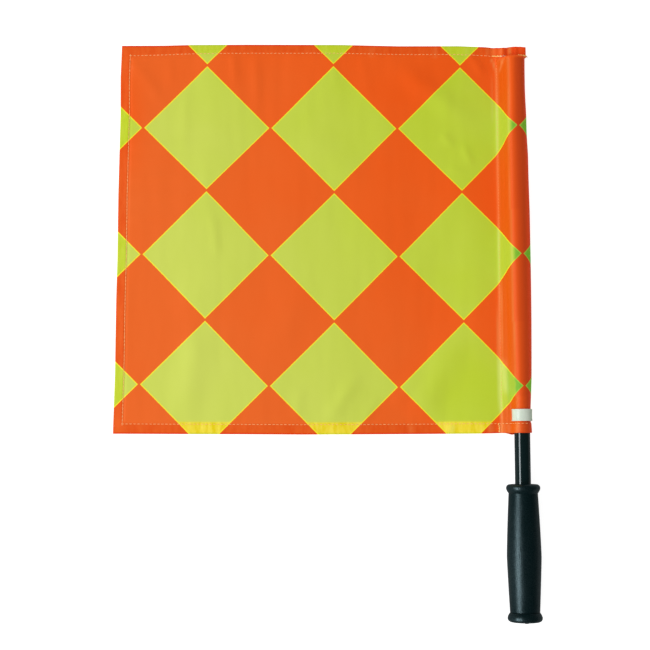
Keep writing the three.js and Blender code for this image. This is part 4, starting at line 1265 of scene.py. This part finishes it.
def stitch_tree():
    """Stitches along lines: short rounded threads, each a little different."""
    made, given = thread_tree("stitch_row", Pitch=3.8, Length=2.9, Radius=0.28)
    curve = made.node("MeshToCurve", {"Mesh": given["Geometry"]})
    spaced = made.node("ResampleCurve", {"Curve": curve, "Length": given["Pitch"]}, mode="LENGTH")
    turn = made.node("FunctionNodeAlignRotationToVector", {"Vector": made.node("InputTangent")}, axis="X")
    ball = made.node("MeshUVSphere", {"Segments": 8, "Rings": 6, "Radius": 1.0})
    vary = made.node("FunctionNodeRandomValue", STITCH_SPREAD, data_type="FLOAT").outputs[1]
    longer = made.times(made.times(given["Length"], 0.5), vary)
    size = made.node("ShaderNodeCombineXYZ", {"X": longer, "Y": given["Radius"], "Z": given["Radius"]})
    inputs = {"Points": spaced, "Rotation": turn, "Scale": size, "Instance": ball}
    return end_tree(made, made.node("InstanceOnPoints", inputs), given)


def strand_tree():
    """One thread swept along each line."""
    made, given = thread_tree("thread_strand", Radius=0.2)
    curve = made.node("MeshToCurve", {"Mesh": given["Geometry"]})
    ring = made.node("CurvePrimitiveCircle", {"Resolution": 8, "Radius": given["Radius"]})
    inputs = {"Curve": curve, "Profile Curve": ring, "Fill Caps": True}
    return end_tree(made, made.node("CurveToMesh", inputs), given)


def sewn(name, lines, tree, finish, **sizes):
    """Runs a thread tree on lines of points, and returns the plain mesh that it makes."""
    points, edges = [], []
    for line in lines:
        first = len(points)
        points.extend(tuple(p) for p in np.asarray(line) * MM)
        edges.extend((first + i, first + i + 1) for i in range(len(line) - 1))
    mesh = bpy.data.meshes.new(name + "_lines")
    mesh.from_pydata(points, edges, [])
    source = add_object(name + "_lines", mesh)
    modifier = source.modifiers.new("threads", "NODES")
    modifier.node_group = tree
    values = {label: size * MM for label, size in sizes.items()}
    values["Material"] = FINISHES[finish]
    for item in tree.interface.items_tree:
        if item.in_out == "INPUT" and item.name in values:
            modifier[item.identifier] = values[item.name]
    bpy.context.view_layer.update()
    evaluated = source.evaluated_get(bpy.context.evaluated_depsgraph_get())
    plain = bpy.data.meshes.new_from_object(evaluated)
    bpy.data.objects.remove(source)
    plain.name = name
    return add_object(name, plain)


# The tack's turns and half width, how far its turns drift and how far threads lie over the cloth
TACK_TURNS = 9
TACK_HALF_WIDTH = 0.35
TACK_DRIFT = 0.4
TACK_LIFT = 0.3
WAVE_LIFT = 0.4
WAVE_STEP = 1.9


def zigzag(grid, column, start, end):
    """A tack's thread, back and forth over a seam."""
    line = []
    for i in range(TACK_TURNS + 1):
        here = at_row(grid, start + (end - start) * i / TACK_TURNS, column, column + 1)[0]
        across = TACK_HALF_WIDTH * (1 if i % 2 else -1) + TACK_DRIFT * math.sin(i * 0.5)
        line.append(here + RIGHT * across + NORMAL * TACK_LIFT)
    return line


def waved(line, reach):
    """A tacked thread's line: a little over the cloth and wavering along the pole."""
    across = reach * np.sin(np.arange(len(line)) * WAVE_STEP)
    return line + across[:, None] * AXIS + WAVE_LIFT * NORMAL


# The grid's column at the seam and the one at the sleeve's crown
SEAM_COLUMN = len(HEM_PLACES) + PANEL_COLUMNS + 1
CROWN_COLUMN = SEAM_COLUMN + STRAIGHT_POINTS + ARC_POINTS // 2
LAST_COLUMN = SEAM_COLUMN - 1 + SECTION_POINTS
# How far a row of stitches lies over the cloth
STITCH_LIFT = 0.1
# The loose end of thread: steps right, along the pole and up from its root
THREAD_CURL = [(0.2, 0.4, 0.4), (1.3, 0.4, 0.6), (2.5, 0.0, 0.4), (3.3, -0.8, 0.0)]


def make_hem_stitches(grid, stitches):
    """The rows along the top and foot, on both sides of the cloth, and the row along the fly edge."""
    first = len([place for place in HEM_PLACES if place <= STITCH_INSET])
    rows, fly_rows = [], []
    for side, lift in (("face", STITCH_LIFT), ("back", -STITCH_LIFT)):
        rows.append(at_row(grid, TOP_STITCH, first, SEAM_COLUMN + 1, side) + NORMAL * lift)
        rows.append(at_row(grid, FOOT_STITCH, first, CROWN_COLUMN - 3, side) + NORMAL * lift)
        fly_rows.append(at_distance(grid, STITCH_INSET, FOOT_STITCH, TOP_STITCH, side) + NORMAL * lift)
    for along, start, end in (
        (TOP_STITCH, SEAM_COLUMN + 1, CROWN_COLUMN - 1),
        (TOP_STITCH, CROWN_COLUMN + 3, LAST_COLUMN - 3),
        (FOOT_STITCH, CROWN_COLUMN + 4, LAST_COLUMN - 4),
    ):
        rows.append(at_row(grid, along, start, end) + NORMAL * STITCH_LIFT)
    hems = sewn("hem_stitches", rows, stitches, "stitch_thread")
    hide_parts("top_hem_thread", "bottom_hem_thread", "closure_thread", "sleeve_foot_thread")
    bend(hems)
    fly = sewn("fly_stitches", fly_rows, stitches, "stitch_thread", Pitch=3.6, Length=3.9, Radius=0.31)
    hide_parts("fly_hem_thread")
    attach(fly, "cloth")
    return [hems, fly]


def make_stitches(grid):
    """All rows of stitches, and the tacks and the loose end that finish them."""
    stitches, strand = stitch_tree(), strand_tree()
    made = make_hem_stitches(grid, stitches)
    run = (grid["rows"] > FOOT_STITCH) & (grid["rows"] < TOP_STITCH)
    line = grid["face"][run, SEAM_COLUMN]
    seam = sewn("seam_stitches", [line], stitches, "seam_thread", Pitch=3.0, Length=1.8, Radius=0.15)
    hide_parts("sleeve_seam_thread")
    lines = [
        zigzag(grid, SEAM_COLUMN - 2, CLOTH_FOOT + 0.8, FOOT_STITCH + 0.4),
        waved(at_row(grid, TOP_STITCH + 0.1, SEAM_COLUMN - 3, SEAM_COLUMN + 6), 0.4),
        waved(at_row(grid, TOP_STITCH + 0.3, CROWN_COLUMN - 12, CROWN_COLUMN), 0.3),
        waved(at_row(grid, TOP_STITCH - 0.3, CROWN_COLUMN - 10, CROWN_COLUMN - 1), -0.25),
    ]
    tacks = sewn("seam_tacks", lines, strand, "tack_thread", Radius=0.38)
    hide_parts("bar_tack_thread")
    backs = [
        waved(at_row(grid, TOP_STITCH + 0.1, SEAM_COLUMN + 4, SEAM_COLUMN + 10), 0.3),
        waved(at_row(grid, TOP_STITCH - 0.4, SEAM_COLUMN + 1, SEAM_COLUMN + 10), -0.3),
    ]
    back_tacks = sewn("back_tacks", backs, strand, "pale_thread", Radius=0.2)
    for piece in (seam, tacks, back_tacks):
        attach(piece, "pole")
    curl = at_row(grid, TOP_STITCH - 0.3, CROWN_COLUMN, CROWN_COLUMN + 1) + np.array(THREAD_CURL)
    loose = sewn("thread_end", [curl], strand, "loose_thread", Radius=0.36)
    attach(loose, "pole")
    made += [seam, tacks, back_tacks, loose]
    return made


def bend(made):
    """Bakes the piece's place into its mesh."""
    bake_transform(made)


def make_flag():
    grid = cloth_grid()
    cloth = make_cloth(grid)
    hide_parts("cloth_panel", "cloth_sleeve")
    bend(cloth)
    threads = make_stitches(grid)


FLOOR_REACH = 60.0
FLOOR_DROP = 0.0004
# What the world shows in reflections by height, and its strength for all other rays
REFLECTED_SKY = (-0.05, 0.15, 0.19, 0.02)
WORLD_STRENGTH = 0.58


def make_floor():
    """Pale floor that throws back light but no reflection."""
    low = CAD_BOX[0].z - FLOOR_DROP
    mesh = bpy.data.meshes.new("floor")
    corners = [(x * FLOOR_REACH, y * FLOOR_REACH, low) for x, y in ((-1, -1), (1, -1), (1, 1), (-1, 1))]
    mesh.from_pydata(corners, [], [(0, 1, 2, 3)])
    pale = Finish("floor_pale", Base_Color=(0.5, 0.5, 0.5), Roughness=0.9, Specular_IOR_Level=0.0,
                  Emission_Color=(1, 1, 1), Emission_Strength=0.8)
    mesh.materials.append(pale.material)
    floor = add_object("floor", mesh)
    floor.visible_glossy = False


def turned(place, right, up, back):
    """A camera's or light's matrix from its place and its three directions."""
    return Matrix.Translation(place) @ Matrix((right, up, back)).transposed().to_4x4()


def add_camera():
    data = bpy.data.cameras.new("camera")
    data.lens = CAMERA_LENS
    data.sensor_width = CAMERA_SENSOR
    camera = add_object("camera", data)
    forward = (CAMERA_TARGET - CAMERA_PLACE).normalized()
    turn = math.radians(CAMERA_TURN)
    right = forward.cross(Vector((math.sin(turn), math.cos(turn), 0.0))).normalized()
    camera.matrix_world = turned(CAMERA_PLACE, right, right.cross(forward), -forward)
    bpy.context.scene.camera = camera


def add_light(name, place, size, power, colour):
    """A soft light that faces the middle of the flag."""
    data = bpy.data.lights.new(name, "AREA")
    data.shape = "RECTANGLE"
    data.size, data.size_y = size
    data.energy = power
    data.color = colour
    toward = -Vector(place).normalized()
    side = toward.cross(Vector((0.0, 1.0, 0.0))).normalized()
    add_object(name, data).matrix_world = turned(place, side, side.cross(toward), -toward)


def add_world():
    """Even white light, with a dim sky in reflections."""
    world = bpy.data.worlds.new("studio")
    bpy.context.scene.world = world
    world.use_nodes = True
    sky = Tree(world.node_tree, "ShaderNode")
    height = sky.node("SeparateXYZ", {"Vector": sky.node("TexCoord").outputs["Generated"]}).outputs["Z"]
    glossy = sky.node("LightPath").outputs["Is Glossy Ray"]
    strength = sky.spread(glossy, 0.0, 1.0, WORLD_STRENGTH, sky.spread(height, *REFLECTED_SKY))
    backdrop = world.node_tree.nodes["Background"]
    sky.feed((1.0, 1.0, 1.0), backdrop.inputs["Color"])
    sky.feed(strength, backdrop.inputs["Strength"])


def make_stage():
    """Pale floor, the photograph's camera and soft studio light."""
    make_floor()
    add_camera()
    add_light("key", place=(-2.28, -0.35, 2.0), size=(1.0, 3.4), power=80.0, colour=(0.93, 0.98, 1.0))
    add_world()
    bpy.context.scene.view_settings.view_transform = "Standard"


make_stage()
dress_solids()
make_grip()
make_end_cap()
make_tube()
make_clip()
make_flag()
